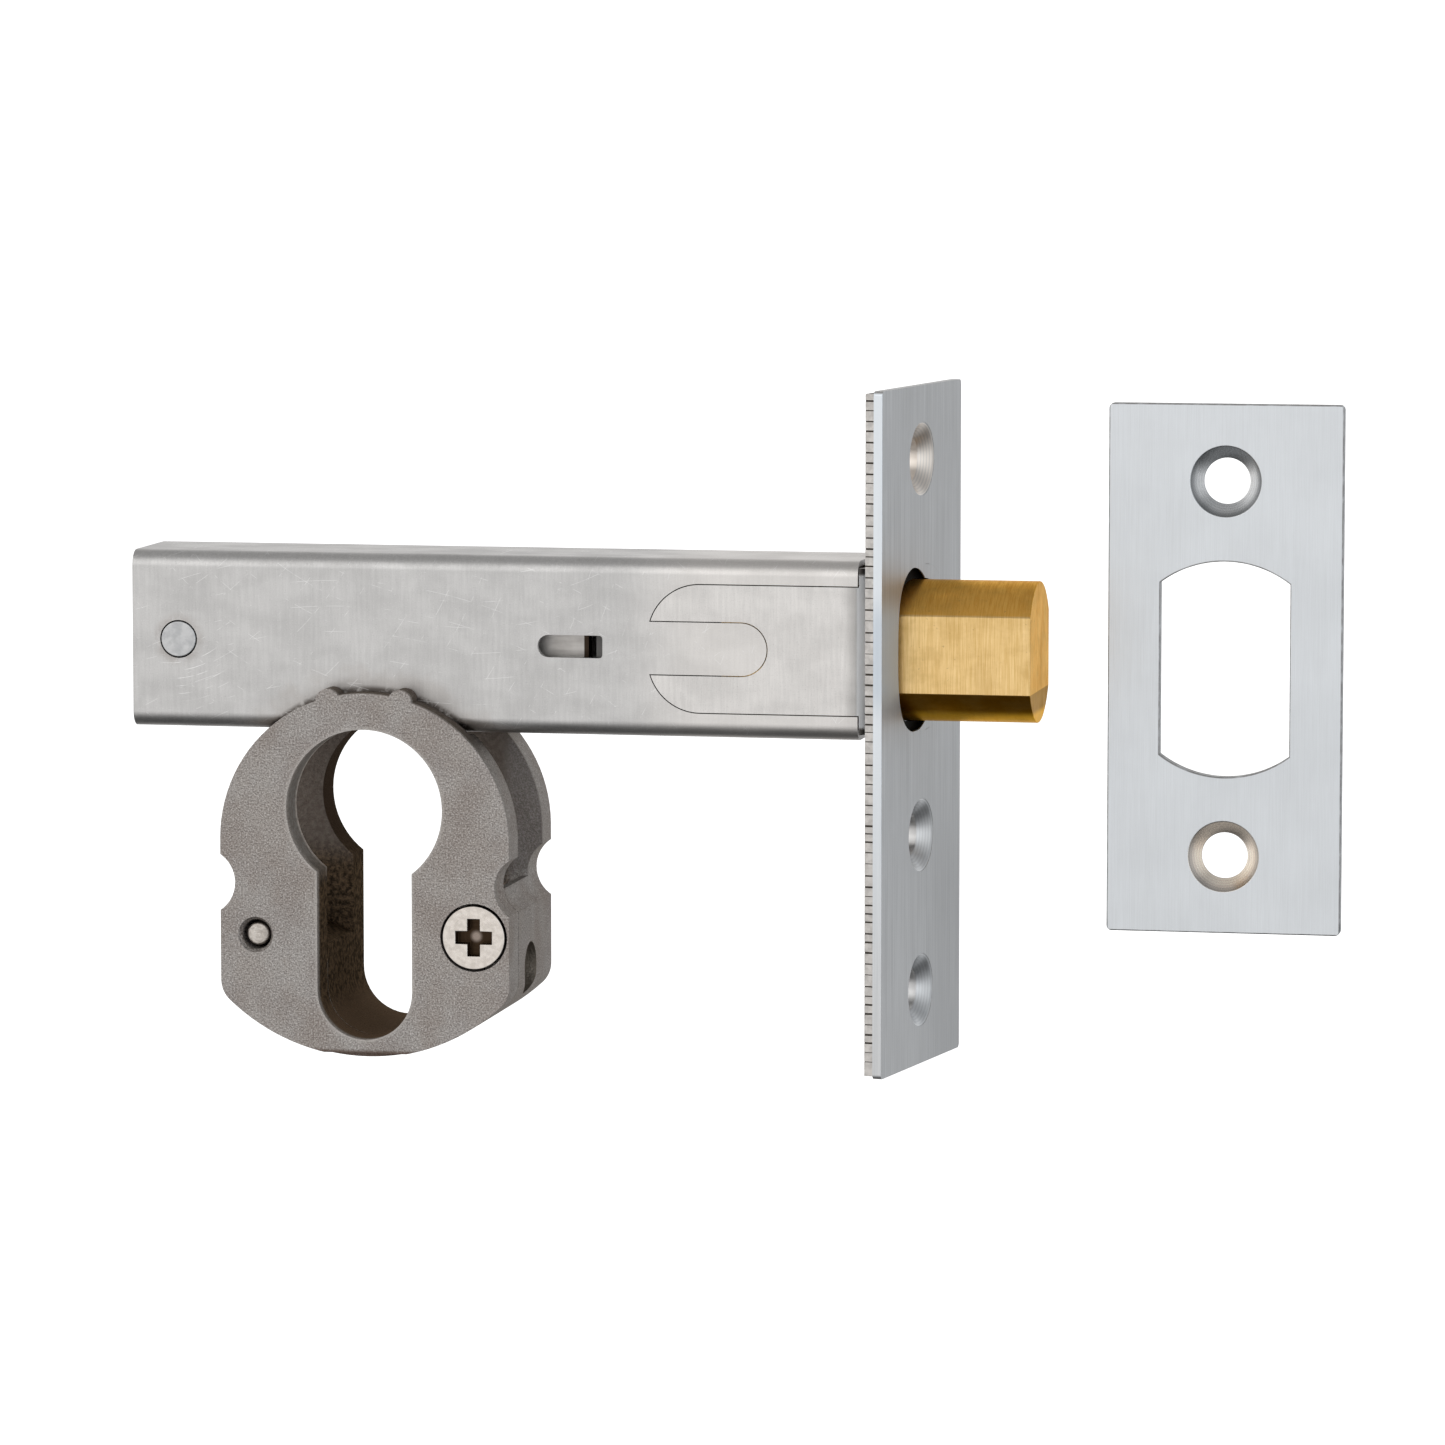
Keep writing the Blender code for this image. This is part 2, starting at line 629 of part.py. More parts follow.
def gate_outline():
    """The lever's gate: the stump's path as the lever lifts, with clearance all round."""
    clear = STUMP_RADIUS + 0.35 * MM
    steps = 8
    path = []
    for step in range(steps + 1):
        share = step / steps
        lift = -LEVER_LIFT * share
        along = STUMP_X - BOLT_THROW * share - RIVET_X
        x = RIVET_X + along * math.cos(lift) - STUMP_Z * math.sin(lift)
        z = along * math.sin(lift) + STUMP_Z * math.cos(lift)
        path.append((x, z))
    slope = math.degrees(math.atan2(path[0][1] - path[-1][1], path[0][0] - path[-1][0]))
    points = arc(path[0], clear, slope - 90, slope + 90, 10)
    points += [(x - clear * math.sin(math.radians(slope)), z + clear) for x, z in path[1:-1]]
    points += arc(path[-1], clear, slope + 90, slope + 270, 10)
    points += [(x, z - clear) for x, z in reversed(path[1:-1])]
    return points


def make_locking_lever():
    boss = 4.2 * MM
    outline = arc((RIVET_X, 0.0), boss, 60, 300, 20)
    outline += [(RIVET_X + 5 * MM, LEVER_BOTTOM + 0.4 * MM), (HOUSING_X - 6 * MM, LEVER_BOTTOM)]
    outline += arc((LEVER_FRONT_X - MM, LEVER_BOTTOM + MM), MM, 270, 360, 4)
    outline += arc((LEVER_FRONT_X - MM, LEVER_TOP - MM), MM, 0, 90, 4)
    outline += [(RIVET_X + 5 * MM, LEVER_TOP)]
    pivot = circle((RIVET_X, 0.0), 2.02 * MM, 32)
    part = prism("locking_lever", [outline, pivot, gate_outline()], "Y", *LEVER_Y)
    return finish(part, (0.49, 0.48, 0.47), 0.42)


def make_lever_spring():
    """A bent spring wire that stands on the lever and presses on the case's roof at full lift."""
    wire = 0.3 * MM
    start = LEVER_TOP + wire + 0.1 * MM
    curve = bpy.data.curves.new("lever_spring", "CURVE")
    curve.dimensions = "3D"
    curve.bevel_depth = wire
    curve.bevel_resolution = 2
    curve.use_fill_caps = True
    spline = curve.splines.new("POLY")
    steps = 14
    spline.points.add(steps)
    y = (LEVER_Y[0] + LEVER_Y[1]) / 2
    for step, point in enumerate(spline.points):
        share = step / steps
        x = RIVET_X + 7.0 * MM + share * 22.0 * MM
        z = start + 2.9 * MM * math.sin(share * math.pi / 2) ** 2
        point.co = (x, y, z, 1.0)
    shape = bpy.data.objects.new("lever_spring_wire", curve)
    CUTTERS.objects.link(shape)
    bpy.context.view_layer.update()
    evaluated = shape.evaluated_get(bpy.context.evaluated_depsgraph_get())
    mesh = bpy.data.meshes.new_from_object(evaluated)
    bpy.data.objects.remove(shape)
    weld(mesh)
    return finish(add_object("lever_spring", mesh), (0.4, 0.4, 0.42), 0.3)


# ---------------------------------------------------------------- housing

def housing_outline():
    """An arch over a rounded foot."""
    x = HOUSING_X
    side = HOUSING_HALF
    fillet = HOUSING_CORNER
    foot_z = HOUSING_BOTTOM + HOUSING_BOTTOM_RADIUS
    drop = math.sqrt((HOUSING_BOTTOM_RADIUS - fillet) ** 2 - (side - fillet) ** 2)
    fillet_z = foot_z - drop
    turn = math.degrees(math.atan2(drop, side - fillet))
    points = arc((x, HOUSING_ARCH_Z), side, 0, 180, 48)
    points += arc((x - side + fillet, fillet_z), fillet, 180, 180 + turn, 8)
    points += arc((x, foot_z), HOUSING_BOTTOM_RADIUS, 180 + turn, 360 - turn, 32)[1:-1]
    points += arc((x + side - fillet, fillet_z), fillet, 360 - turn, 360, 8)
    return points


def euro_outline():
    """The euro profile: a round bore over a slot with a round end."""
    x = HOUSING_X
    meet = math.degrees(math.asin(KEYWAY_HALF / BORE_RADIUS))
    points = arc((x, BORE_Z), BORE_RADIUS, 270 + meet, 630 - meet, 64)
    points += arc((x, KEYWAY_END_Z), KEYWAY_HALF, 180, 360, 24)
    return points


def housing_blank(name, low, high):
    """The castings' shared shape between two depths, with its lugs, side notches and cylinder hole."""
    part = prism(name, [housing_outline(), euro_outline()], "Y", low, high)
    for side in (-1, 1):
        lug_centre = (HOUSING_X + side * PEG_SPREAD, PEG_Z)
        tool = f"{name}_lug_{side + 2}"
        join(part, rod(tool, "Y", low, high, lug_centre, 1.3 * MM, steps=32, collection=CUTTERS))
        notch = (HOUSING_X + side * NOTCH_OFFSET, NOTCH_Z)
        tool = f"{name}_notch_{side + 2}"
        cut(part, rod(tool, "Y", low - MM, high + MM, notch, NOTCH_RADIUS, steps=48, collection=CUTTERS))
    return part


def make_housing_front():
    front = -HOUSING_DEPTH / 2
    part = housing_blank("housing_front", front, PARTING_Y - 0.08 * MM)
    case_half = CASE_WIDTH / 2 + 0.15 * MM
    case_bottom = -CASE_HEIGHT / 2 - 0.2 * MM
    seat = box("front_case_seat", (-0.1, -case_half, case_bottom), (0.0, 0.0, 0.02), CUTTERS)
    gate_low = (-0.1, front - MM, HOUSING_BOTTOM - MM)
    gate = box("gate_flat", gate_low, (0.0, front + GATE_DEPTH, GATE_Z), CUTTERS)
    cut(part, seat, gate)
    add_pegs(part, -1)
    cut_fixing_holes(part)
    return finish(part, (0.27, 0.265, 0.26), 0.55)


def make_housing_rear():
    rear = HOUSING_DEPTH / 2
    part = housing_blank("housing_rear", PARTING_Y + 0.08 * MM, rear)
    case_half = CASE_WIDTH / 2 + 0.15 * MM
    case_bottom = -CASE_HEIGHT / 2 - 0.2 * MM
    seat = box("rear_case_seat", (-0.1, -0.01, case_bottom), (0.0, case_half, 0.02), CUTTERS)
    sweep = box("cam_gap", (-0.1, -0.01, LEDGE_Z), (0.0, CAM_HALF, 0.02), CUTTERS)
    chamber = rod(
        "cam_chamber", "Y", -0.01, CAM_HALF, (HOUSING_X, BORE_Z), CAM_RADIUS, steps=64, collection=CUTTERS
    )
    cut(part, seat, sweep, chamber)
    outside = HOUSING_X + 2 * HOUSING_HALF
    place = (0.0, SIDE_HOLE_Z)
    radius = SIDE_HOLE_RADIUS
    cut(part, rod("side_hole", "X", HOUSING_X, outside, place, radius, steps=32, collection=CUTTERS))
    add_pegs(part, 1)
    cut_fixing_holes(part)
    return finish(part, (0.26, 0.255, 0.25), 0.55)


def add_pegs(part, side):
    """Two pegs that enter the case's wall."""
    near = side * (CASE_WIDTH / 2 - 0.5 * MM)
    far = side * (CASE_WIDTH / 2 + 0.6 * MM)
    for place in (-1, 1):
        centre = (HOUSING_X + place * PEG_SPREAD, PEG_Z)
        low, high = min(near, far), max(near, far)
        peg = rod(f"{part.name}_peg_{place + 2}", "Y", low, high, centre, MM, steps=20, collection=CUTTERS)
        join(part, peg)


def cut_fixing_holes(part):
    """The counterbored screw hole and the chamfered dowel hole, through both castings."""
    front = -HOUSING_DEPTH / 2
    screw = (HOUSING_X + HOUSING_SCREW[0], HOUSING_SCREW[1])
    dowel = (HOUSING_X + HOUSING_DOWEL[0], HOUSING_DOWEL[1])
    sink = SCREW_HEAD_RADIUS + 0.27 * MM
    for label, low, high, centre, start, end in (
        ("screw_sink", front - MM, front + 2.3 * MM, screw, sink, sink),
        ("screw_hole", front, 7.6 * MM, screw, 1.75 * MM, 1.75 * MM),
        ("dowel_sink", front - 0.3 * MM, front + 0.55 * MM, dowel, 2.1 * MM, 1.6 * MM),
        ("dowel_hole", front - MM, 8.2 * MM, dowel, 1.62 * MM, 1.62 * MM),
    ):
        cut(part, rod(f"{part.name}_{label}", "Y", low, high, centre, start, end, 40, CUTTERS))


def make_housing_screw():
    """A flat-topped machine screw with a cross recess."""
    front = -HOUSING_DEPTH / 2 - 0.05 * MM
    centre = (HOUSING_X + HOUSING_SCREW[0], HOUSING_SCREW[1])
    part = rod("housing_screw", "Y", front, front + 2.1 * MM, centre, SCREW_HEAD_RADIUS, steps=64)
    shank = rod("screw_shank", "Y", front + MM, 7.2 * MM, centre, 1.6 * MM, steps=24, collection=CUTTERS)
    join(part, shank)
    depth = 1.4 * MM
    for name, half_x, half_z in (
        ("recess_across", RECESS_ARM, RECESS_HALF),
        ("recess_up", RECESS_HALF, RECESS_ARM),
    ):
        low = (centre[0] - half_x, front - MM, centre[1] - half_z)
        high = (centre[0] + half_x, front + depth, centre[1] + half_z)
        cut(part, box(name, low, high, CUTTERS))
    return finish(part, (0.5, 0.47, 0.44), 0.28)


def make_housing_dowel():
    centre = (HOUSING_X + HOUSING_DOWEL[0], HOUSING_DOWEL[1])
    part = rod("housing_dowel", "Y", -HOUSING_DEPTH / 2 + 0.9 * MM, 8.0 * MM, centre, 1.25 * MM, steps=32)
    return finish(part, (0.55, 0.52, 0.48), 0.35)


# ---------------------------------------------------------------- strike plate

def make_strike_plate():
    x, y, z = STRIKE_CENTRE
    half = STRIKE_THICKNESS / 2
    outline = rounded_rectangle(STRIKE_WIDTH / 2, STRIKE_HEIGHT / 2, 0.5 * MM, 4, (x, z))
    hole = double_d(STRIKE_HOLE_RADIUS, STRIKE_HOLE_FLAT, (x, z))
    part = prism("strike_plate", [outline, hole], "Y", y - half, y + half)
    for level in (-1, 1):
        centre = (x, z + level * STRIKE_SCREW_Z)
        cut(part, sink_cutter(f"strike_sink_{level + 2}", "Y", y - half, centre, 1))
    return finish(part, (0.62, 0.66, 0.68), 0.32)


# ---------------------------------------------------------------- assembly

def joint_empty(name, place, turn=0.0):
    """An empty on a joint's axis, turned about Z."""
    empty = bpy.data.objects.new(name, None)
    empty.location = place
    empty.rotation_euler = (0.0, 0.0, turn)
    PARTS.objects.link(empty)
    return empty


def carry(empty, names):
    """Hang parts and their guides on a joint's empty, keeping the place they have in its straight frame."""
    for name in names:
        part = bpy.data.objects[name]
        members = [part] + [m.object for m in part.modifiers if m.type == "BOOLEAN"]
        for member in members:
            member.parent = empty
            member.location = -Vector(empty.location)


def main():
    make_case_shell()
    make_front_bracket()
    make_rear_rivet()
    make_rivet_spacers()
    make_outer_forend()
    make_inner_forend()
    make_forend_pins()
    make_bolt_head()
    make_anti_saw_rollers()
    make_bolt_carrier()
    make_bolt_tail()
    make_bolt_fixings()
    make_locking_lever()
    make_lever_spring()
    make_housing_front()
    make_housing_rear()
    make_housing_screw()
    make_housing_dowel()
    make_strike_plate()

    swivel = joint_empty("forend_swivel", (SWIVEL_X, 0.0, 0.0), SWIVEL_ANGLE)
    carry(swivel, ("outer_forend", "inner_forend"))
    carry(
        joint_empty("bolt_slide", (0.0, 0.0, 0.0)),
        (
            "bolt_head",
            "lower_anti_saw_roller",
            "upper_anti_saw_roller",
            "bolt_carrier",
            "bolt_tail",
            "front_head_pin",
            "rear_head_pin",
            "front_tail_rivet",
            "rear_tail_rivet",
            "stump_pin",
        ),
    )
    carry(joint_empty("lever_pivot", (RIVET_X, 0.0, 0.0)), ("locking_lever", "lever_spring"))
    carry(joint_empty("strike_turn", (STRIKE_CENTRE[0], 0.0, 0.0)), ("strike_plate",))


main()
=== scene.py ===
"""Looks for a euro profile mortice deadbolt and its strike plate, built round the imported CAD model."""

import math
import random

import bmesh
import bpy
from mathutils import Matrix, Vector


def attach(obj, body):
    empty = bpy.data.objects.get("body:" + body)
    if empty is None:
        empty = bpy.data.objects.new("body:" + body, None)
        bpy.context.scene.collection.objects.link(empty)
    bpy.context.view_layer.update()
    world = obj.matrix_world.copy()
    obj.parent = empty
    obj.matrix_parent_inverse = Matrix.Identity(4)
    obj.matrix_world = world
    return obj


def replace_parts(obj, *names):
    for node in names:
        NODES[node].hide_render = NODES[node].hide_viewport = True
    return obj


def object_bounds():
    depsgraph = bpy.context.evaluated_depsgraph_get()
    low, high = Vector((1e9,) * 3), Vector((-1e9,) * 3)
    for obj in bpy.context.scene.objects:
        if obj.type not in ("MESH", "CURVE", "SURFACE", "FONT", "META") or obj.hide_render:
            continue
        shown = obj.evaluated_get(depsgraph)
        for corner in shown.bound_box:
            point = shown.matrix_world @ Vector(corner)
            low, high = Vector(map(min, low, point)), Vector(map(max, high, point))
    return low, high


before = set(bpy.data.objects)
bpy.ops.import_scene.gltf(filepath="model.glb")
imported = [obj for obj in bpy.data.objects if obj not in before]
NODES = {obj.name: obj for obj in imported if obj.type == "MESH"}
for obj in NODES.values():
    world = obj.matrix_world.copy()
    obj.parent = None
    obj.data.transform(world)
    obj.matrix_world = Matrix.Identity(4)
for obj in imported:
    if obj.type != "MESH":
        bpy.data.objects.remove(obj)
cad_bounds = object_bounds()

MM = 0.001

# ---------------------------------------------------------------- driving sizes
#
# Millimetres and degrees. X runs along the bolt's throw, -Y is the side of the housing screw's
# head, and Z is up. The forend's sizes are those of a forend that stands square to the case.

WELD_DISTANCE = 0.001

CAMERA_PLACE = (130.35, -743.3, 71.1)
CAMERA_YAW = 11.56
CAMERA_PITCH = 5.99
CAMERA_LENS = 178.1
FLOOR_DROP = 250.0

# the case, its rivet and bracket, and the lever's end in its side slot
# where the case is painted paler, a painted sheen, towards the forend
CASE_PAINTED_SHEEN_X = (-33.0, -21.0)
RIVET_X = -79.8
RIVET_RADIUS = 1.92
LEVER_FRONT_X = -35.25
WEB_X = -5.7
WEB_HALF_Z = 7.9

# the forend: its screw cups, the lips in the bolt's hole, and its outer and inner plates
SWIVEL_X = -3.4
SWIVEL_ANGLE = -9.5
FOREND_SCREWS = (20.0, -20.0, -36.6)
FOREND_HALF = 12.5
PLATE_CORNER = 0.5
SINK_RADIUS = 3.8
# radius and depth below the forend's face, down the inside of a cup and up its outside
CUP_PROFILE = (
    (3.98, 0.02),
    (3.82, 0.07),
    (3.66, 0.19),
    (2.44, 1.4),
    (2.42, 2.4),
    (2.7, 2.4),
    (2.75, 1.6),
    (3.9, 0.45),
)
LIP_CENTRES = {"upper_hole_lip": -2.4, "lower_hole_lip": -1.6}
LIP_HALF = 6.5
LIP_TOP = 8.68
LIP_END = 5.6
LIP_DEPTHS = (-0.14, -0.004)
# where the bolt passes the lips: its middle across, its half width and its half height
LIP_BOLT = (0.55, 7.72, 7.62)

OUTER_PLATE_X = (-0.95, 0.0)
OUTER_PLATE_Z = (-44.5, 27.8)
OUTER_HOLE = (7.35, 8.85)
OUTER_HOLE_Z = -0.04
OUTER_BEVEL = 0.04
INNER_PLATE_X = (-1.9, -0.96)
INNER_PLATE_Z = (-44.2, 27.5)
INNER_PLATE_HALF = 12.35
INNER_SCREW_RADIUS = 3.15
INNER_HOLE_HALF = 7.57
INNER_HOLE_FLAT = 7.1
INNER_HOLE_CURVE = 10.0
NICK_PITCH = 1.05
NICK_WIDTH = 0.15
NICK_DEPTH = 0.1
EAR_LEVELS = (8.42, 9.0)
EAR_HALF = 1.3
EAR_REACH = 0.8
EAR_HOLE_RADIUS = 0.56
# half width and height of the square of painted shade round the bolt's hole on the inner plate
SHADE_SQUARE_HALF = (8.0, 9.3)

# the bolt: its middle, where its flats begin, and the edge between its side and its underside
BOLT_Z = -0.3
BOLT_FLAT_Y = 6.27
BOLT_CORNER_Z = -4.36

# the cylinder's housing: its top arch, the cylinder's hole, the side hole, the cam's space, the screw
HOUSING_X = -58.65
HOUSING_FRONT_Y = -10.0
HOUSING_FOOT_Z = -43.75
ARCH_Z = -21.05
ARCH_RADIUS = 15.87
BORE_Z = -17.6
BORE_RADIUS = 8.55
KEYWAY_HALF = 5.2
KEYWAY_END_Z = -37.15
SIDE_HOLE_Z = -35.45
SIDE_HOLE_RADIUS = 2.8
CHAMBER_Y = (-5.6, 5.55)
CHAMBER_RADIUS = 17.4
CHAMBER_HALF = 11.0
SCREW_CENTRE = (-46.67, -31.05)
SCREW_FRONT_Y = -10.05

# the strike plate: its middle, its half width and half height, its screws and the bolt's hole
STRIKE_X = 31.22
STRIKE_Z = -2.5
STRIKE_HALF = (12.5, 28.2)
STRIKE_SCREWS = (17.5, -22.5)
STRIKE_HOLE_FLAT = 6.95
STRIKE_HOLE_RIM = 11.6
STRIKE_FOOT_Z = STRIKE_Z - STRIKE_HALF[1]
STRIKE_BACK_Y = 8.7


# ---------------------------------------------------------------- node graphs

class Graph:
    """Short calls for building a node tree. Lengths inside a graph are in millimetres."""

    def __init__(self, tree):
        self.tree = tree
        self.tree.nodes.clear()

    def add(self, kind, **settings):
        node = self.tree.nodes.new(kind)
        for name, value in settings.items():
            setattr(node, name, value)
        return node

    def put(self, socket, value):
        """Link a socket, or set a plain value."""
        if isinstance(value, bpy.types.NodeSocket):
            self.tree.links.new(value, socket)
        else:
            socket.default_value = value

    def math(self, operation, *values):
        node = self.add("ShaderNodeMath", operation=operation)
        for socket, value in zip(node.inputs, values):
            self.put(socket, value)
        return node.outputs[0]

    def ramp(self, value, low, high, to_low=0.0, to_high=1.0):
        """A smooth step from one level to another."""
        node = self.add("ShaderNodeMapRange", interpolation_type="SMOOTHSTEP")
        for socket, given in zip(node.inputs, (value, low, high, to_low, to_high)):
            self.put(socket, given)
        return node.outputs[0]

    def mix(self, share, first, second):
        node = self.add("ShaderNodeMix", data_type="RGBA", blend_type="MIX")
        self.put(node.inputs[0], share)
        self.put(node.inputs[6], first)
        self.put(node.inputs[7], second)
        return node.outputs[2]

    def point(self, turn=0.0, origin_x=0.0):
        """The piece's own coordinates, turned back about an upright axis."""
        source = self.add("ShaderNodeTexCoord")
        node = self.add("ShaderNodeMapping")
        self.put(node.inputs["Vector"], source.outputs["Object"])
        angle = math.radians(turn)
        node.inputs["Scale"].default_value = (1 / MM, 1 / MM, 1 / MM)
        node.inputs["Rotation"].default_value = (0.0, 0.0, angle)
        back = (-origin_x * math.cos(angle), -origin_x * math.sin(angle), 0.0)
        node.inputs["Location"].default_value = back
        return node.outputs[0]

    def split(self, vector):
        node = self.add("ShaderNodeSeparateXYZ")
        self.put(node.inputs[0], vector)
        return node.outputs

    def noise(self, vector, scale, detail=3.0, rough=0.55):
        """Noise with its own scale along each axis."""
        stretch = self.add("ShaderNodeMapping")
        self.put(stretch.inputs["Vector"], vector)
        stretch.inputs["Scale"].default_value = scale
        node = self.add("ShaderNodeTexNoise")
        self.put(node.inputs["Vector"], stretch.outputs[0])
        node.inputs["Scale"].default_value = 1.0
        node.inputs["Detail"].default_value = detail
        node.inputs["Roughness"].default_value = rough
        return node.outputs["Fac"]

    def distance(self, first, second, centre):
        """How far two coordinates are from a centre."""
        across = self.math("SUBTRACT", first, centre[0])
        up = self.math("SUBTRACT", second, centre[1])
        squares = [self.math("POWER", length, 2.0) for length in (across, up)]
        return self.math("SQRT", self.math("ADD", *squares))

    def all_of(self, *masks):
        product = masks[0]
        for mask in masks[1:]:
            product = self.math("MULTIPLY", product, mask)
        return product

    def any_of(self, *masks):
        highest = masks[0]
        for mask in masks[1:]:
            highest = self.math("MAXIMUM", highest, mask)
        return highest

    def bump(self, height, depth):
        """Relief of a depth in millimetres."""
        node = self.add("ShaderNodeBump")
        self.put(node.inputs["Height"], height)
        node.inputs["Strength"].default_value = 1.0
        node.inputs["Distance"].default_value = depth * MM
        return node.outputs[0]


def grey(level, warm=0.0):
    """A neutral linear colour, a little warm or cool."""
    return (level * (1.0 + warm), level, level * (1.0 - warm), 1.0)


def metal(name, build):
    """A metal. build(graph) gives its colour, roughness and normal, and a metallic share if below 1."""
    made = bpy.data.materials.new(name)
    made.use_nodes = True
    g = Graph(made.node_tree)
    shader = g.add("ShaderNodeBsdfPrincipled")
    colour, roughness, normal, *share = build(g)
    g.put(shader.inputs["Metallic"], share[0] if share else 1.0)
    g.put(shader.inputs["Base Color"], colour)
    g.put(shader.inputs["Roughness"], roughness)
    g.put(shader.inputs["Normal"], normal)
    out = g.add("ShaderNodeOutputMaterial")
    g.put(out.inputs["Surface"], shader.outputs[0])
    return made


# ---------------------------------------------------------------- finishes

def sheet_steel(g, light, dark, roughness):
    """Zinc-plated sheet: cloudy, with fine upright marks and a grain."""
    point = g.point()
    cloud = g.noise(point, (0.16, 0.3, 0.28), 4.0, 0.6)
    marks = g.noise(point, (3.2, 3.0, 0.25), 3.0)
    grain = g.noise(point, (7.0, 7.0, 7.0), 2.0)
    shade = g.mix(g.ramp(cloud, 0.34, 0.66), dark, light)
    shade = g.mix(g.ramp(marks, 0.3, 0.75, 0.16, 0.0), shade, grey(0.3))
    shade = g.mix(g.ramp(grain, 0.56, 0.74, 0.0, 0.3), shade, grey(0.36, 0.02))
    shade = g.mix(g.ramp(grain, 0.44, 0.26, 0.0, 0.3), shade, grey(0.85, 0.01))
    rough = g.ramp(cloud, 0.3, 0.7, roughness + 0.05, roughness - 0.04)
    relief = g.math("ADD", g.math("MULTIPLY", marks, 0.5), g.math("MULTIPLY", grain, 0.5))
    return shade, rough, g.bump(relief, 0.006)


def case_finish(g):
    """Plated sheet with a painted sheen towards the forend, grime, a painted contact shadow along the
    housing's arch, and curved scratches.
    """
    shade, rough, normal = sheet_steel(g, grey(0.66, 0.006), grey(0.6, 0.008), 0.40)
    point = g.point()
    x, y, z = g.split(point)
    # painted sheen: the case is painted paler towards the forend
    shade = g.mix(g.ramp(x, *CASE_PAINTED_SHEEN_X), shade, g.mix(0.35, shade, grey(0.95, 0.05)))
    shade = case_grime_and_shade(g, point, x, z, shade)
    shade = g.mix(rivet_scratches(g, point, x, z), shade, grey(0.95))
    for centre in ((-62.0, -46.0), (-48.0, 38.0), (-90.0, 25.0)):
        sweep = g.math("SINE", g.math("MULTIPLY", g.distance(x, z, centre), 2.3))
        broken = g.noise(point, (0.35, 0.35, 0.9), 3.0)
        fine = g.all_of(g.ramp(sweep, 0.996, 1.0), g.ramp(broken, 0.54, 0.62, 0.0, 0.45))
        shade = g.mix(fine, shade, grey(0.95))
    return shade, rough, normal


def case_grime_and_shade(g, point, x, z, shade):
    """Brown dirt in a halo over the housing's arch and a ring at the rivet, and a patchy dark brown
    painted contact shadow along the arch.
    """
    patch = g.noise(point, (0.9, 0.9, 0.9), 4.0, 0.65)
    arch = g.distance(x, z, (HOUSING_X, ARCH_Z))
    wave = g.ramp(g.noise(point, (0.3, 0.3, 0.3), 2.0), 0.25, 0.75, -1.2, 1.2)
    halo = g.ramp(g.math("ADD", arch, wave), ARCH_RADIUS + 0.6, ARCH_RADIUS + 3.4, 0.26, 0.0)
    # mask of the painted contact shadow on the case beside the housing's arch
    line = g.ramp(arch, ARCH_RADIUS + 0.15, ARCH_RADIUS + 0.75, 0.8, 0.0)
    rivet = g.distance(x, z, (RIVET_X, 0.0))
    ring = g.ramp(rivet, RIVET_RADIUS + 0.1, RIVET_RADIUS + 1.3, 0.3, 0.0)
    shade = g.mix(halo, shade, (0.36, 0.31, 0.27, 1.0))
    shade = g.mix(g.all_of(ring, g.ramp(patch, 0.3, 0.6)), shade, (0.25, 0.2, 0.16, 1.0))
    # painted shade: a patchy dark brown contact shadow along the housing's arch
    return g.mix(g.all_of(line, g.ramp(patch, 0.3, 0.5)), shade, (0.06, 0.045, 0.035, 1.0))


def rivet_scratches(g, point, x, z):
    """A few curved scratches beside the rivet."""
    rings = g.math("SINE", g.math("MULTIPLY", g.distance(x, z, (RIVET_X - 1.0, 6.0)), 7.5))
    patchy = g.noise(point, (0.7, 0.7, 0.7), 2.0)
    scratch = g.all_of(
        g.ramp(rings, 0.93, 1.0),
        g.ramp(g.distance(x, z, (RIVET_X + 1.5, -3.2)), 2.2, 4.2, 1.0, 0.0),
        g.ramp(patchy, 0.45, 0.6),
    )
    return g.math("MULTIPLY", scratch, 0.7)


def bracket_finish(g):
    """Plated strap: painted shade darker towards its bend, and pale and dull on the web across the
    case's mouth.
    """
    shade, rough, normal = sheet_steel(g, grey(0.79, 0.022), grey(0.72, 0.024), 0.38)
    x, y, z = g.split(g.point())
    # painted shade: the strap is painted darker towards its bend
    shade = g.mix(g.ramp(x, -7.4, -5.9, 0.0, 0.55), shade, grey(0.3, 0.02))
    on_web = g.ramp(x, WEB_X - 0.25, WEB_X)
    bloom = g.all_of(on_web, g.ramp(g.math("ABSOLUTE", z), WEB_HALF_Z + 0.4, WEB_HALF_Z))
    return g.mix(bloom, shade, grey(0.72, -0.02)), rough, normal, g.math("SUBTRACT", 1.0, bloom)


def rivet_finish(g):
    """Plated and lightly peened."""
    point = g.point()
    cloud = g.noise(point, (0.9, 0.9, 0.9), 4.0, 0.6)
    grain = g.noise(point, (6.0, 6.0, 6.0), 2.0)
    shade = g.mix(g.ramp(cloud, 0.35, 0.65), grey(0.52, -0.02), grey(0.64, -0.012))
    return shade, g.ramp(grain, 0.3, 0.7, 0.34, 0.46), g.bump(cloud, 0.03)


def inner_finish(g):
    """Plain unplated steel inside the case."""
    point = g.point()
    cloud = g.noise(point, (0.5, 0.5, 0.5), 4.0)
    marks = g.noise(point, (0.4, 6.0, 6.0), 3.0)
    shade = g.mix(g.ramp(cloud, 0.35, 0.7), grey(0.3, 0.03), grey(0.5, 0.02))
    return shade, g.ramp(marks, 0.3, 0.7, 0.36, 0.5), g.bump(marks, 0.008)


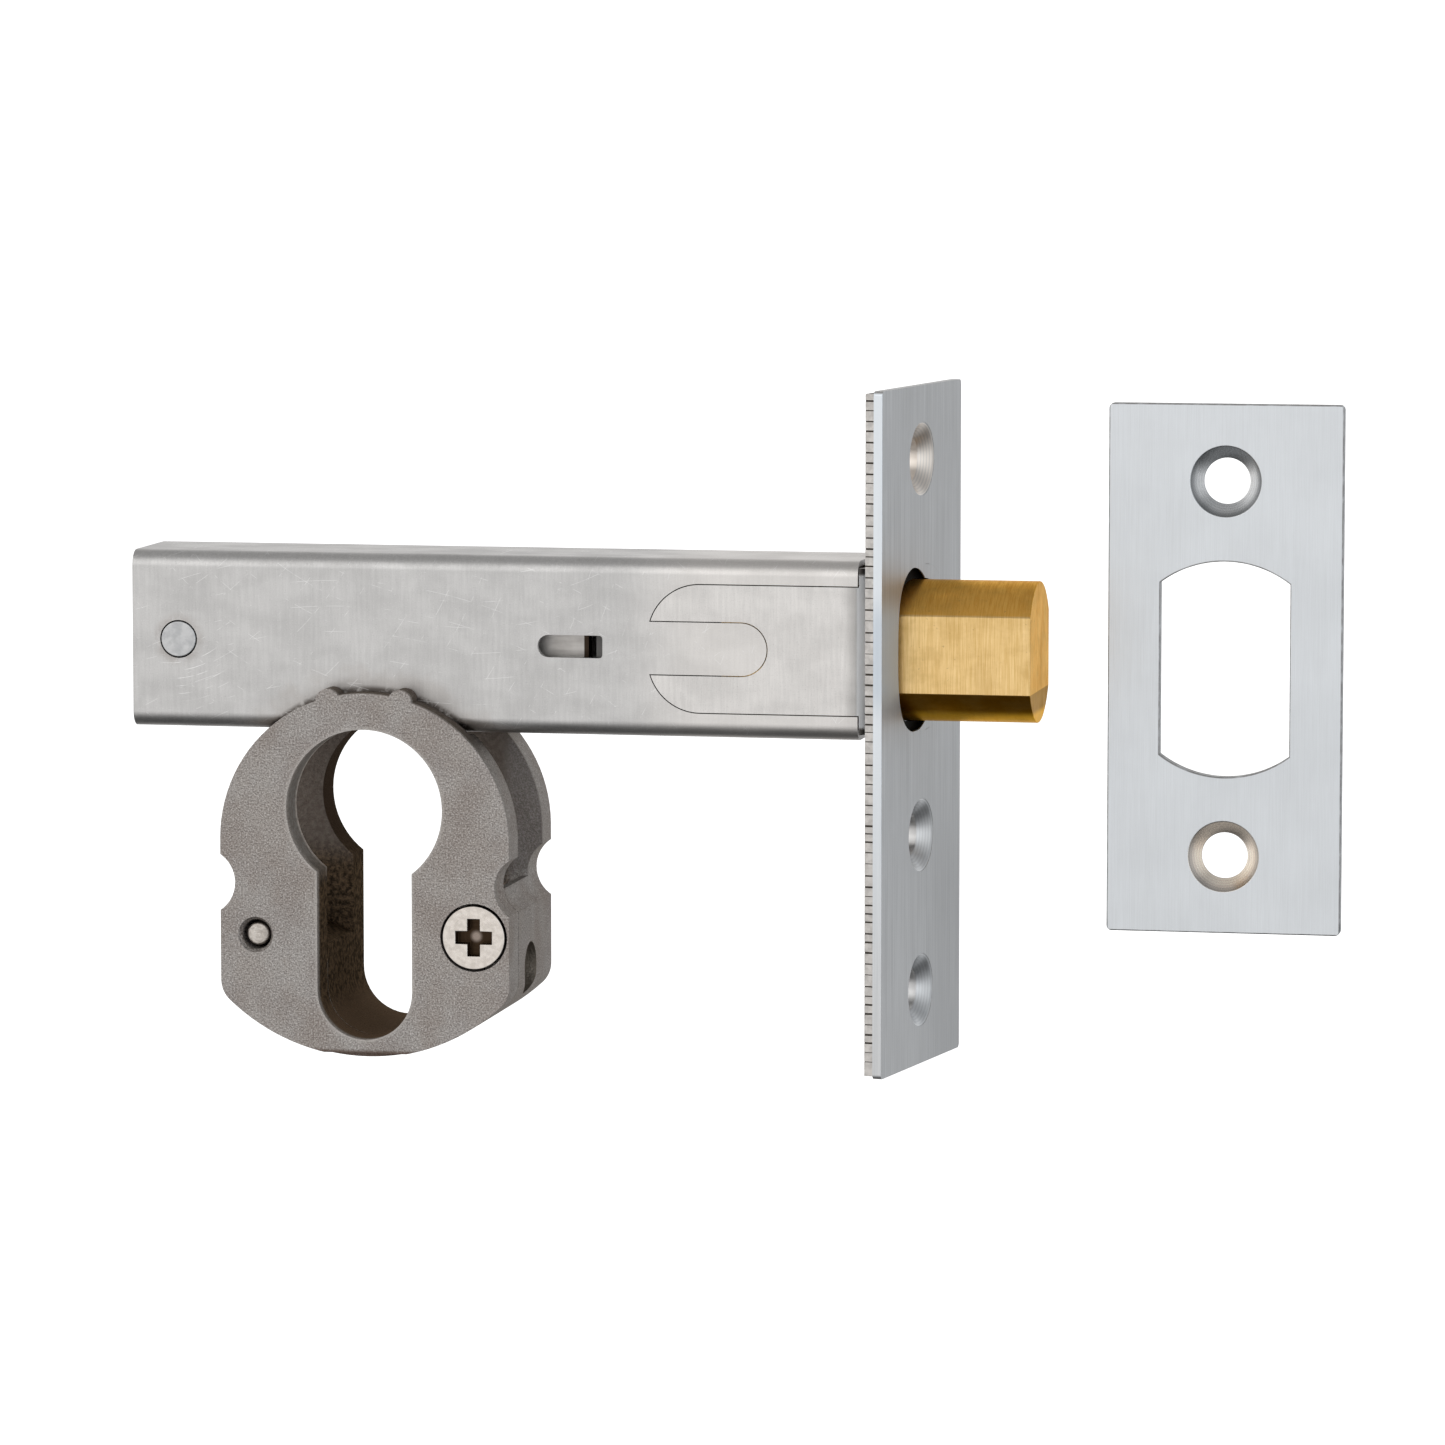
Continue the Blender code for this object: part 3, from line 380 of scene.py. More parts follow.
def lever_finish(g):
    """Paler steel with its front end painted near-black, a painted shade for the gap in front of it."""
    shade, rough, normal = inner_finish(g)
    x, y, z = g.split(g.point())
    shade = g.mix(0.5, shade, grey(0.66, 0.05))
    # painted shade: the lever's front end is painted near-black
    front = g.ramp(x, LEVER_FRONT_X - 0.6, LEVER_FRONT_X - 0.5)
    return g.mix(front, shade, (0.05, 0.035, 0.025, 1.0)), rough, normal


def carrier_shade_finish(g):
    """Steel painted nearly black, a painted shade for the carrier deep in the case."""
    shade, rough, normal = inner_finish(g)
    # painted shade: the carrier is painted nearly black
    return g.mix(0.9, shade, grey(0.08, 0.02)), rough, normal


def brushed(g, point, light, dark, roughness, lines_scale):
    """Satin metal with fine lines."""
    lines = g.noise(point, lines_scale, 4.0, 0.7)
    cloud = g.noise(point, (0.12, 0.12, 0.12), 3.0)
    shade = g.mix(g.ramp(lines, 0.3, 0.7), dark, light)
    shade = g.mix(g.ramp(cloud, 0.3, 0.7, 0.06, 0.0), shade, grey(0.2))
    return shade, g.ramp(lines, 0.25, 0.75, roughness + 0.06, roughness - 0.05), g.bump(lines, 0.004)


def countersinks(g, finish, across, up, screws, centre, tints):
    """Turned and polished countersinks over a finish."""
    shade, rough, normal = finish
    for level, tint in zip(screws, tints):
        ring = g.distance(across, up, (centre, level))
        inside = g.math("LESS_THAN", ring, SINK_RADIUS + 0.02)
        turning = g.math("SINE", g.math("MULTIPLY", ring, 26.0))
        shade = g.mix(inside, shade, g.mix(g.ramp(turning, -1.0, 1.0, 0.0, 0.25), tint, grey(0.4)))
        rough = g.math("SUBTRACT", rough, g.math("MULTIPLY", inside, 0.12))
    return shade, rough, normal


def outer_forend_finish(g):
    """Satin plate: bright countersinks, a painted pale blue tint and dullness beside the bolt against
    its brass reflection, painted shade low on its +Y side, and paler along its -Y edge.
    """
    point = g.point(-SWIVEL_ANGLE, SWIVEL_X)
    depth, across, up = g.split(point)
    finish = brushed(g, point, grey(0.66, 0.002), grey(0.56, 0.004), 0.46, (5.0, 5.0, 0.05))
    shade, rough, normal = countersinks(
        g, finish, across, up, FOREND_SCREWS, 0.0, (grey(0.85, 0.09), grey(0.8, 0.0), grey(0.8, -0.01))
    )
    edge = g.math("LESS_THAN", across, -FOREND_HALF + 0.09)
    beside = g.all_of(g.ramp(g.math("ABSOLUTE", up), 7.5, 3.0), g.ramp(across, -5.0, -7.2))
    # painted light: beside the bolt the plate is tinted pale blue and made duller, against the bolt's
    # brass reflection
    shade = g.mix(g.math("MULTIPLY", beside, 0.4), shade, (0.8, 0.88, 0.96, 1.0))
    # painted shade: the plate is painted darker low on its +Y side
    lower_right_shade = g.all_of(g.ramp(up, -5.0, -30.0, 0.0, 0.24), g.ramp(across, -4.0, 8.0))
    shade = g.mix(lower_right_shade, shade, grey(0.3))
    # the -Y edge is painted paler, less so low down
    pale_edge_share = g.ramp(up, -44.0, -5.0, 0.3, 0.88)
    shade = g.mix(g.math("MULTIPLY", edge, pale_edge_share), shade, grey(0.9, -0.06))
    return shade, g.math("ADD", rough, g.math("MULTIPLY", beside, 0.3)), normal


def inner_forend_finish(g):
    """Plated plate, painted near-black but for its sheared edges, a painted shade in the bolt's hole and
    dark in its nicks, and a square of painted shade round the bolt's hole.
    """
    point = g.point(-SWIVEL_ANGLE, SWIVEL_X)
    depth, across, up = g.split(point)
    cloud = g.noise(point, (1.2, 1.2, 1.2), 4.0, 0.6)
    shade = g.mix(g.ramp(cloud, 0.3, 0.7), grey(0.5, 0.035), grey(0.68, 0.035))
    # painted shade: inside its sheared edges the plate is painted near-black, so dark in the bolt's hole
    # and in its nicks
    inward = g.math("LESS_THAN", g.math("ABSOLUTE", across), INNER_PLATE_HALF - 0.03)
    shade = g.mix(g.math("MULTIPLY", inward, 0.95), shade, (0.05, 0.04, 0.03, 1.0))
    half, height = SHADE_SQUARE_HALF
    from_bolt = g.math("ABSOLUTE", g.math("SUBTRACT", up, BOLT_Z))
    # painted shade: a near-black, duller square round the bolt's hole, on the plate and its ears
    shade_square = g.all_of(
        g.ramp(from_bolt, height, height + 0.3, 1.0, 0.0),
        g.ramp(g.math("ABSOLUTE", across), half, half + 0.4, 1.0, 0.0),
    )
    shade = g.mix(shade_square, shade, grey(0.03))
    rough = g.ramp(shade_square, 0.0, 1.0, 0.45, 0.8)
    return shade, rough, g.bump(cloud, 0.03)


def brass_finish(g):
    """Machined brass: fine lines, paler flats, orange underneath with painted shade in dark brown next
    to its lower edge, and a little tarnish.
    """
    point = g.point()
    lines = g.noise(point, (6.5, 0.5, 0.22), 4.0, 0.7)
    cloud = g.noise(point, (0.35, 0.5, 0.5), 4.0, 0.6)
    specks = g.noise(point, (2.2, 2.2, 2.2), 2.0)
    x, y, z = g.split(point)
    flat = g.mix(g.ramp(lines, 0.3, 0.7), (0.78, 0.52, 0.2, 1.0), (0.97, 0.7, 0.34, 1.0))
    curve = g.mix(g.ramp(lines, 0.3, 0.7), (0.78, 0.39, 0.07, 1.0), (0.96, 0.55, 0.13, 1.0))
    shade = g.mix(g.ramp(g.math("ABSOLUTE", y), BOLT_FLAT_Y - 0.17, BOLT_FLAT_Y), curve, flat)
    lower = g.ramp(z, BOLT_CORNER_Z + 0.06, BOLT_CORNER_Z - 0.06)
    shade = g.mix(g.math("MULTIPLY", lower, 0.8), shade, (1.0, 0.55, 0.03, 1.0))
    # painted shade: the underside is painted dark brown next to its edge with the side, orange lower
    # down
    shade = g.mix(g.all_of(lower, g.ramp(z, -6.9, -6.1, 0.0, 0.85)), shade, (0.22, 0.07, 0.0, 1.0))
    shade = g.mix(g.ramp(cloud, 0.32, 0.62, 0.28, 0.0), shade, (0.5, 0.3, 0.08, 1.0))
    shade = g.mix(g.ramp(specks, 0.68, 0.76, 0.0, 0.4), shade, (0.25, 0.14, 0.05, 1.0))
    return shade, g.ramp(lines, 0.25, 0.75, 0.42, 0.3), g.bump(lines, 0.006)


def cast_zinc(g):
    """Blasted zinc casting: a fine grain, a painted highlight round the cylinder's hole, and darker and
    brown inside its cavities, with painted light on the bore's wall.
    """
    point = g.point()
    x, y, z = g.split(point)
    grain = g.noise(point, (5.4, 5.4, 5.4), 2.0, 0.6)
    pits = g.noise(point, (2.0, 2.0, 2.0), 3.0, 0.6)
    gap = cavity_gap(g, x, z)
    # mask of a painted highlight round the cylinder's hole
    rim = g.ramp(gap, 0.0, 0.45, 0.55, 0.0)
    outward = g.ramp(y, HOUSING_FRONT_Y + 0.35, HOUSING_FRONT_Y + 0.1)
    inside = g.all_of(g.ramp(gap, 0.04, 0.0), g.ramp(y, HOUSING_FRONT_Y + 0.3, HOUSING_FRONT_Y + 1.4))
    hidden = g.any_of(inside, g.math("MULTIPLY", cam_space(g, x, y, z), 0.97))
    side_hole = g.all_of(
        g.math("LESS_THAN", g.distance(y, z, (0.0, SIDE_HOLE_Z)), SIDE_HOLE_RADIUS + 0.04),
        g.math("GREATER_THAN", x, HOUSING_X + KEYWAY_HALF + 1.0),
    )
    shade = zinc_skin(g, point, grain, pits)
    # painted highlight: a paler rim round the cylinder's hole on the housing's face
    shade = g.mix(g.all_of(rim, outward), shade, grey(0.58, 0.05))
    shade = zinc_shade_and_foot(g, y, z, pits, shade)
    shade = g.mix(hidden, shade, cavity_colour(g, y, z, pits))
    shade = g.mix(g.math("MULTIPLY", side_hole, 0.8), shade, (0.3, 0.26, 0.21, 1.0))
    rough = g.math("ADD", g.ramp(grain, 0.3, 0.7, 0.5, 0.64), g.math("MULTIPLY", inside, 0.25))
    relief = g.math("ADD", g.math("MULTIPLY", grain, 0.7), g.math("MULTIPLY", pits, 0.5))
    return shade, rough, g.bump(relief, 0.12)


def zinc_skin(g, point, grain, pits):
    """The casting's outer colour: cloudy and a little rusty, with light and dark grains and pits."""
    rust = g.noise(point, (0.16, 0.16, 0.12), 4.0, 0.6)
    cloud = g.noise(point, (0.22, 0.22, 0.22), 3.0)
    shade = g.mix(g.ramp(cloud, 0.35, 0.65), (0.42, 0.385, 0.365, 1.0), (0.5, 0.475, 0.455, 1.0))
    shade = g.mix(g.ramp(rust, 0.42, 0.62, 0.0, 0.25), shade, (0.36, 0.29, 0.24, 1.0))
    shade = g.mix(g.ramp(grain, 0.34, 0.56, 0.6, 0.0), shade, (0.15, 0.13, 0.12, 1.0))
    shade = g.mix(g.ramp(grain, 0.52, 0.68, 0.0, 0.5), shade, (0.85, 0.82, 0.8, 1.0))
    return g.mix(g.ramp(pits, 0.66, 0.74, 0.0, 0.6), shade, (0.09, 0.075, 0.065, 1.0))


def zinc_shade_and_foot(g, y, z, pits, shade):
    """Painted shade in the middle of the casting's depth above the screw and, patchy, at its top by the
    case; and dark at its foot.
    """
    band = g.all_of(g.ramp(g.math("ABSOLUTE", y), 6.0, 5.8), g.ramp(z, -27.0, -25.0))
    joint = g.all_of(
        g.ramp(z, -12.5, -9.5),
        g.ramp(y, HOUSING_FRONT_Y + 0.25, HOUSING_FRONT_Y + 0.9),
        g.ramp(pits, 0.2, 0.5, 0.3, 1.0),
    )
    foot = g.ramp(z, HOUSING_FOOT_Z + 0.45, HOUSING_FOOT_Z)
    # painted shade: the middle of the casting's depth, shaded by its front cheek and the case
    shade = g.mix(g.math("MULTIPLY", band, 0.6), shade, (0.17, 0.15, 0.14, 1.0))
    # painted shade: patchy dark brown at the housing's top behind its front, by the case
    shade = g.mix(g.math("MULTIPLY", joint, 0.8), shade, (0.11, 0.085, 0.065, 1.0))
    return g.mix(g.math("MULTIPLY", foot, 0.8), shade, (0.11, 0.065, 0.045, 1.0))


def cam_space(g, x, y, z):
    """The space between the housing's walls in which the cylinder's cam turns."""
    return g.all_of(
        g.ramp(y, CHAMBER_Y[0] - 0.15, CHAMBER_Y[0]),
        g.ramp(y, CHAMBER_Y[1] + 0.15, CHAMBER_Y[1]),
        g.ramp(g.distance(x, z, (HOUSING_X, BORE_Z)), CHAMBER_RADIUS + 0.8, CHAMBER_RADIUS),
        g.ramp(g.math("ABSOLUTE", g.math("SUBTRACT", x, HOUSING_X)), CHAMBER_HALF + 2.0, CHAMBER_HALF),
    )


def cavity_colour(g, y, z, pits):
    """Colour inside the cylinder's hole: a bore paler than its rim, a painted light against its depth,
    dark at its back, a brown slot.
    """
    # painted light: inside its rim the bore's wall is painted pale against the shade of its depth
    bore = g.mix(g.ramp(y, -6.6, -6.0), grey(0.36, 0.07), (0.8, 0.74, 0.68, 1.0))
    bore = g.mix(g.ramp(pits, 0.35, 0.65, 0.4, 0.0), bore, (0.2, 0.16, 0.13, 1.0))
    bore = g.mix(g.ramp(y, 5.25, 5.6), bore, (0.07, 0.045, 0.03, 1.0))
    slot = g.mix(g.ramp(pits, 0.35, 0.65), (0.04, 0.026, 0.014, 1.0), (0.2, 0.135, 0.08, 1.0))
    slot = g.mix(g.ramp(z, -37.5, -41.0), slot, (0.2, 0.135, 0.085, 1.0))
    return g.mix(g.ramp(z, -22.0, -26.5), bore, slot)


def cavity_gap(g, x, z):
    """How far a point of the housing's face is outside the cylinder's hole."""
    bore = g.math("SUBTRACT", g.distance(x, z, (HOUSING_X, BORE_Z)), BORE_RADIUS)
    side = g.math("SUBTRACT", g.math("ABSOLUTE", g.math("SUBTRACT", x, HOUSING_X)), KEYWAY_HALF)
    above = g.math("SUBTRACT", z, BORE_Z)
    straight = g.math("MAXIMUM", side, g.math("MAXIMUM", above, g.math("SUBTRACT", KEYWAY_END_Z, z)))
    end = g.math("SUBTRACT", g.distance(x, z, (HOUSING_X, KEYWAY_END_Z)), KEYWAY_HALF)
    return g.math("MINIMUM", bore, g.math("MINIMUM", straight, end))


def screw_finish(g):
    """Nickel plate with turning rings, dark down in the cross recess."""
    point = g.point()
    x, y, z = g.split(point)
    rings = g.math("SINE", g.math("MULTIPLY", g.distance(x, z, SCREW_CENTRE), 14.0))
    cloud = g.noise(point, (1.6, 1.6, 1.6), 4.0, 0.6)
    shade = g.mix(g.ramp(cloud, 0.35, 0.65), grey(0.62, 0.08), grey(0.76, 0.07))
    below = g.ramp(y, SCREW_FRONT_Y + 0.12, SCREW_FRONT_Y + 0.4)
    core = g.ramp(g.distance(x, z, SCREW_CENTRE), 0.2, 0.8, 0.5, 0.0)
    floor = g.mix(core, (0.04, 0.025, 0.015, 1.0), (0.6, 0.5, 0.44, 1.0))
    shade = g.mix(below, shade, floor)
    return shade, g.ramp(rings, -1.0, 1.0, 0.26, 0.34), g.bump(cloud, 0.012)


def dowel_finish(g):
    """Plated and uneven."""
    point = g.point()
    cloud = g.noise(point, (1.3, 1.3, 1.3), 4.0, 0.7)
    shade = g.mix(g.ramp(cloud, 0.35, 0.65), grey(0.42, 0.09), grey(0.64, 0.07))
    return shade, 0.36, g.bump(cloud, 0.12)


def strike_border(g, x, z):
    """The mask of a painted shade line round the strike plate and round its hole, where the sheared edge
    begins.
    """
    across = g.math("ABSOLUTE", g.math("SUBTRACT", x, STRIKE_X))
    up = g.math("ABSOLUTE", g.math("SUBTRACT", z, STRIKE_Z))
    half, height = STRIKE_HALF
    outside = g.math("MAXIMUM", g.math("SUBTRACT", across, half), g.math("SUBTRACT", up, height))
    reach = g.ramp(g.distance(x, z, (STRIKE_X, STRIKE_Z)), STRIKE_HOLE_RIM + 0.06, STRIKE_HOLE_RIM)
    rim = g.all_of(reach, g.math("LESS_THAN", across, STRIKE_HOLE_FLAT + 0.1))
    return g.any_of(g.ramp(outside, -0.16, -0.08), rim)


def strike_finish(g):
    """Satin plate with a painted shade line round its outline and hole, darkest at its foot, and turned
    countersinks with painted shade, which are tinted on its front only.
    """
    point = g.point()
    x, y, z = g.split(point)
    light, dark = grey(0.79, -0.04), grey(0.745, -0.036)
    shade, rough, normal = brushed(g, point, light, dark, 0.4, (15.0, 3.0, 0.16))
    patch = g.noise(point, (0.8, 0.8, 0.8), 3.0)
    # painted shade: a dark line along the plate's edges and round its hole
    line = g.math("MULTIPLY", strike_border(g, x, z), g.ramp(patch, 0.3, 0.6, 0.6, 1.0))
    # painted shade: the line is darker along the plate's foot
    low = g.ramp(z, STRIKE_FOOT_Z + 1.7, STRIKE_FOOT_Z + 0.5)
    shade = g.mix(line, shade, g.mix(low, grey(0.26), grey(0.07)))
    tints = (grey(0.86, -0.01), grey(0.96, 0.12))
    sunk, rough, normal = countersinks(g, (shade, rough, normal), x, z, STRIKE_SCREWS, STRIKE_X, tints)
    for level, share in zip(STRIKE_SCREWS, (0.9, 0.6)):
        sunk = g.mix(sink_shadow(g, x, z, level, share), sunk, grey(0.25, -0.03))
    return g.mix(g.math("LESS_THAN", y, STRIKE_BACK_Y - 0.1), shade, sunk), rough, normal


def sink_shadow(g, x, z, level, share):
    """The darker outer ring and upper side of a countersink in the strike plate."""
    ring = g.distance(x, z, (STRIKE_X, level))
    inside = g.math("LESS_THAN", ring, SINK_RADIUS + 0.02)
    outer = g.ramp(ring, SINK_RADIUS - 0.8, SINK_RADIUS - 0.05, 0.0, share)
    above = g.ramp(g.math("SUBTRACT", z, level), 0.3, 2.6, 0.0, share)
    return g.all_of(inside, g.any_of(outer, above))


FINISHES = {
    "case_steel": case_finish,
    "bracket_steel": bracket_finish,
    "rivet_steel": rivet_finish,
    "inner_steel": inner_finish,
    "lever_steel": lever_finish,
    "carrier_painted_shade": carrier_shade_finish,
    "outer_forend_satin": outer_forend_finish,
    "inner_forend_steel": inner_forend_finish,
    "bolt_brass": brass_finish,
    "housing_zinc": cast_zinc,
    "screw_nickel": screw_finish,
    "dowel_steel": dowel_finish,
    "strike_satin": strike_finish,
}
MATERIALS = {name: metal(name, build) for name, build in FINISHES.items()}
EDGE_TINTS = {"bolt_brass": (0.92, 0.78, 0.5, 1.0), "housing_zinc": (0.6, 0.55, 0.5, 1.0)}

# finish and edge rounding, in millimetres, of each CAD node that is shown
LOOKS = {
    "case_shell": ("case_steel", 0.1),
    "front_bracket": ("bracket_steel", 0.06),
    "rear_rivet": ("rivet_steel", 0.12),
    "lever_washer": ("inner_steel", 0.08),
    "spacer_bush": ("inner_steel", 0.08),
    "housing_front": ("housing_zinc", 0.22),
    "housing_rear": ("housing_zinc", 0.22),
    "housing_screw": ("screw_nickel", 0.14),
    "housing_dowel": ("dowel_steel", 0.3),
    "upper_forend_pin": ("inner_steel", 0.05),
    "lower_forend_pin": ("inner_steel", 0.05),
    "bolt_head": ("bolt_brass", 0.22),
    "lower_anti_saw_roller": ("inner_steel", 0.1),
    "upper_anti_saw_roller": ("inner_steel", 0.1),
    "bolt_carrier": ("carrier_painted_shade", 0.15),
    "bolt_tail": ("inner_steel", 0.1),
    "front_head_pin": ("inner_steel", 0.1),
    "rear_head_pin": ("inner_steel", 0.1),
    "front_tail_rivet": ("inner_steel", 0.1),
    "rear_tail_rivet": ("inner_steel", 0.1),
    "stump_pin": ("inner_steel", 0.1),
    "locking_lever": ("lever_steel", 0.1),
    "lever_spring": ("inner_steel", 0.0),
    "strike_plate": ("strike_satin", 0.08),
}


def tint_edges():
    """Tint what some of the metals reflect at a grazing angle."""
    for name, tint in EDGE_TINTS.items():
        shader = MATERIALS[name].node_tree.nodes["Principled BSDF"]
        shader.inputs["Specular Tint"].default_value = tint


def dress(node, finish, rounding):
    """Give a CAD node its finish, merge its flat facets and round its edges."""
    part = NODES[node]
    part.data.materials.clear()
    part.data.materials.append(MATERIALS[finish])
    part.data.shade_smooth()
    soften(part, rounding)


def soften(part, rounding):
    """Merge doubled points and flat facets, then round the sharp edges, all by modifiers."""
    weld = part.modifiers.new("weld", "WELD")
    weld.merge_threshold = WELD_DISTANCE * MM
    if rounding:
        flat = part.modifiers.new("flat", "DECIMATE")
        flat.decimate_type = "DISSOLVE"
        flat.angle_limit = math.radians(0.6)
        edges = part.modifiers.new("edges", "BEVEL")
        edges.width = rounding * MM
        edges.segments = 3
        edges.limit_method = "ANGLE"
        edges.angle_limit = math.radians(28.0)
    even = part.modifiers.new("even", "WEIGHTED_NORMAL")
    even.keep_sharp = True
    even.weight = 100


# ---------------------------------------------------------------- built pieces

def extruded(name, outlines, low, high):
    """Outlines in (y, z), the first one solid and the rest holes, extruded along X."""
    curve = bpy.data.curves.new(name, "CURVE")
    curve.dimensions = "2D"
    curve.fill_mode = "BOTH"
    curve.extrude = (high - low) / 2
    for outline in outlines:
        spline = curve.splines.new("POLY")
        spline.points.add(len(outline) - 1)
        for point, (u, v) in zip(spline.points, outline):
            point.co = (u, v, 0.0, 1.0)
        spline.use_cyclic_u = True
    shape = bpy.data.objects.new(name, curve)
    bpy.context.scene.collection.objects.link(shape)
    bpy.context.view_layer.update()
    evaluated = shape.evaluated_get(bpy.context.evaluated_depsgraph_get())
    mesh = bpy.data.meshes.new_from_object(evaluated)
    bpy.data.objects.remove(shape)
    bpy.data.curves.remove(curve)
    stand = Matrix(((0, 0, 1), (1, 0, 0), (0, 1, 0))).to_4x4()
    mesh.transform(Matrix.Translation(((low + high) / 2, 0.0, 0.0)) @ stand)
    return mesh


def merge(mesh, *others):
    """Add other meshes to a mesh, join its doubled points and turn its faces outward."""
    bm = bmesh.new()
    bm.from_mesh(mesh)
    for other in others:
        bm.from_mesh(other)
        bpy.data.meshes.remove(other)
    bmesh.ops.remove_doubles(bm, verts=bm.verts, dist=WELD_DISTANCE)
    bmesh.ops.recalc_face_normals(bm, faces=bm.faces)
    bm.to_mesh(mesh)
    bm.free()


def nicked_edge(start, end, side):
    """One long edge of the inner plate, from one level to another, with small nicks."""
    rng = random.Random(side + 7)
    direction = 1 if end > start else -1
    edge = side * INNER_PLATE_HALF
    points = [(edge, start)]
    level = start + direction * NICK_PITCH * 0.6
    while (end - level) * direction > NICK_PITCH * 0.6:
        width = direction * NICK_WIDTH * rng.uniform(0.5, 1.5)
        bottom = edge - side * NICK_DEPTH * rng.uniform(0.7, 1.2)
        points += [(edge, level), (bottom, level + width * 0.2)]
        points += [(bottom, level + width * 0.8), (edge, level + width)]
        level += direction * NICK_PITCH * rng.uniform(0.8, 1.2)
    points.append((edge, end))
    return points


def arc(centre, radius, start, end, steps):
    """Points on a circle, from one angle in degrees to another."""
    points = []
    for step in range(steps + 1):
        angle = math.radians(start + (end - start) * step / steps)
        points.append((centre[0] + radius * math.cos(angle), centre[1] + radius * math.sin(angle)))
    return points


def make_ear(side):
    """A flat ear behind the inner plate, above or below the bolt, with its pin's hole."""
    rear = SWIVEL_X - EAR_REACH
    front = INNER_PLATE_X[0] + 0.2
    outline = [(-EAR_HALF, rear), (EAR_HALF, rear), (EAR_HALF, front), (-EAR_HALF, front)]
    pin = arc((0.0, SWIVEL_X), EAR_HOLE_RADIUS, 0, 360, 32)[:-1]
    low, high = sorted(BOLT_Z + side * level for level in EAR_LEVELS)
    ear = extruded("ear", [outline, pin], -high, -low)
    ear.transform(Matrix.Rotation(math.radians(90.0), 4, "Y"))
    return ear


def make_inner_plate():
    """The forend's inner plate with nicked edges, its holes and its ears."""
    low, high = INNER_PLATE_Z
    outline = nicked_edge(low, high, 1) + nicked_edge(high, low, -1)
    reach = INNER_HOLE_HALF - INNER_HOLE_CURVE
    edge = math.degrees(math.acos(INNER_HOLE_FLAT / INNER_HOLE_CURVE))
    hole = arc((0.0, BOLT_Z + reach), INNER_HOLE_CURVE, edge, 180 - edge, 24)
    hole += arc((0.0, BOLT_Z - reach), INNER_HOLE_CURVE, 180 + edge, 360 - edge, 24)
    screws = [arc((0.0, level), INNER_SCREW_RADIUS, 0, 360, 48)[:-1] for level in FOREND_SCREWS]
    mesh = extruded("inner_plate", [outline, hole, *screws], *INNER_PLATE_X)
    merge(mesh, *(make_ear(side) for side in (-1, 1)))
    mesh.shade_flat()
    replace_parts(hang(mesh, "inner_forend_steel"), "inner_forend")


def hang(mesh, finish):
    """Turn a mesh, drawn square to the case in millimetres, with the forend and add it as a piece."""
    pivot = Matrix.Translation((SWIVEL_X, 0.0, 0.0))
    turn = pivot @ Matrix.Rotation(math.radians(SWIVEL_ANGLE), 4, "Z") @ pivot.inverted()
    mesh.transform(Matrix.Scale(MM, 4) @ turn)
    mesh.materials.clear()
    mesh.materials.append(MATERIALS[finish])
    piece = bpy.data.objects.new(mesh.name, mesh)
    bpy.context.scene.collection.objects.link(piece)
    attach(piece, "forend")
    return piece


def make_screw_cups():
    """The dished screw holes, pressed through both plates of the forend."""
    steps = 64
    for index, level in enumerate(FOREND_SCREWS):
        bm = bmesh.new()
        rings = []
        for step in range(steps):
            angle = 2 * math.pi * step / steps
            ring = [
                bm.verts.new((-depth, radius * math.cos(angle), level + radius * math.sin(angle)))
                for radius, depth in CUP_PROFILE
            ]
            rings.append(ring)
        for near, far in zip(rings, rings[1:] + rings[:1]):
            for a, b in zip(range(len(near)), [*range(1, len(near)), 0]):
                bm.faces.new((near[a], far[a], far[b], near[b]))
        bmesh.ops.recalc_face_normals(bm, faces=bm.faces)
        mesh = bpy.data.meshes.new(f"screw_cup_{index + 1}")
        bm.to_mesh(mesh)
        bm.free()
        piece = hang(mesh, "outer_forend_satin")
        piece.data.shade_smooth()
        piece.data.set_sharp_from_angle(angle=math.radians(40.0))


def hole_half_width(level):
    """Half the width of the outer plate's hole at a height from its middle."""
    half, height = OUTER_HOLE
    return half * max(0.0, 1.0 - (abs(level) / height) ** 3) ** (1 / 3)


def make_outer_plate():
    """The forend's outer plate, with rounded corners, its screw holes and the bolt's rounded hole."""
    low, high = OUTER_PLATE_Z
    inset = FOREND_HALF - PLATE_CORNER
    outline = []
    for centre, start in (
        ((inset, high - PLATE_CORNER), 0),
        ((-inset, high - PLATE_CORNER), 90),
        ((-inset, low + PLATE_CORNER), 180),
        ((inset, low + PLATE_CORNER), 270),
    ):
        outline += arc(centre, PLATE_CORNER, start, start + 90, 6)
    levels = [OUTER_HOLE[1] * math.sin(math.radians(angle)) for angle in range(-90, 91, 4)]
    levels[-1] = OUTER_HOLE[1]
    right = [(hole_half_width(level), OUTER_HOLE_Z + level) for level in levels]
    left = [(-y, z) for y, z in reversed(right[1:-1])]
    under_cup = CUP_PROFILE[0][0] - 0.06
    screws = [arc((0.0, level), under_cup, 0, 360, 64)[:-1] for level in FOREND_SCREWS]
    mesh = extruded("outer_plate", [outline, right + left, *screws], *OUTER_PLATE_X)
    merge(mesh)
    piece = hang(mesh, "outer_forend_satin")
    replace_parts(piece, "outer_forend")
    piece.data.shade_smooth()
    soften(piece, OUTER_BEVEL)


def over_bolt(across, side):
    """Height from the hole's middle at which a lip clears the bolt."""
    centre, half, height = LIP_BOLT
    reach = height * math.sqrt(max(0.0, 1.0 - ((across - centre) / half) ** 2))
    return reach + side * (BOLT_Z - OUTER_HOLE_Z)


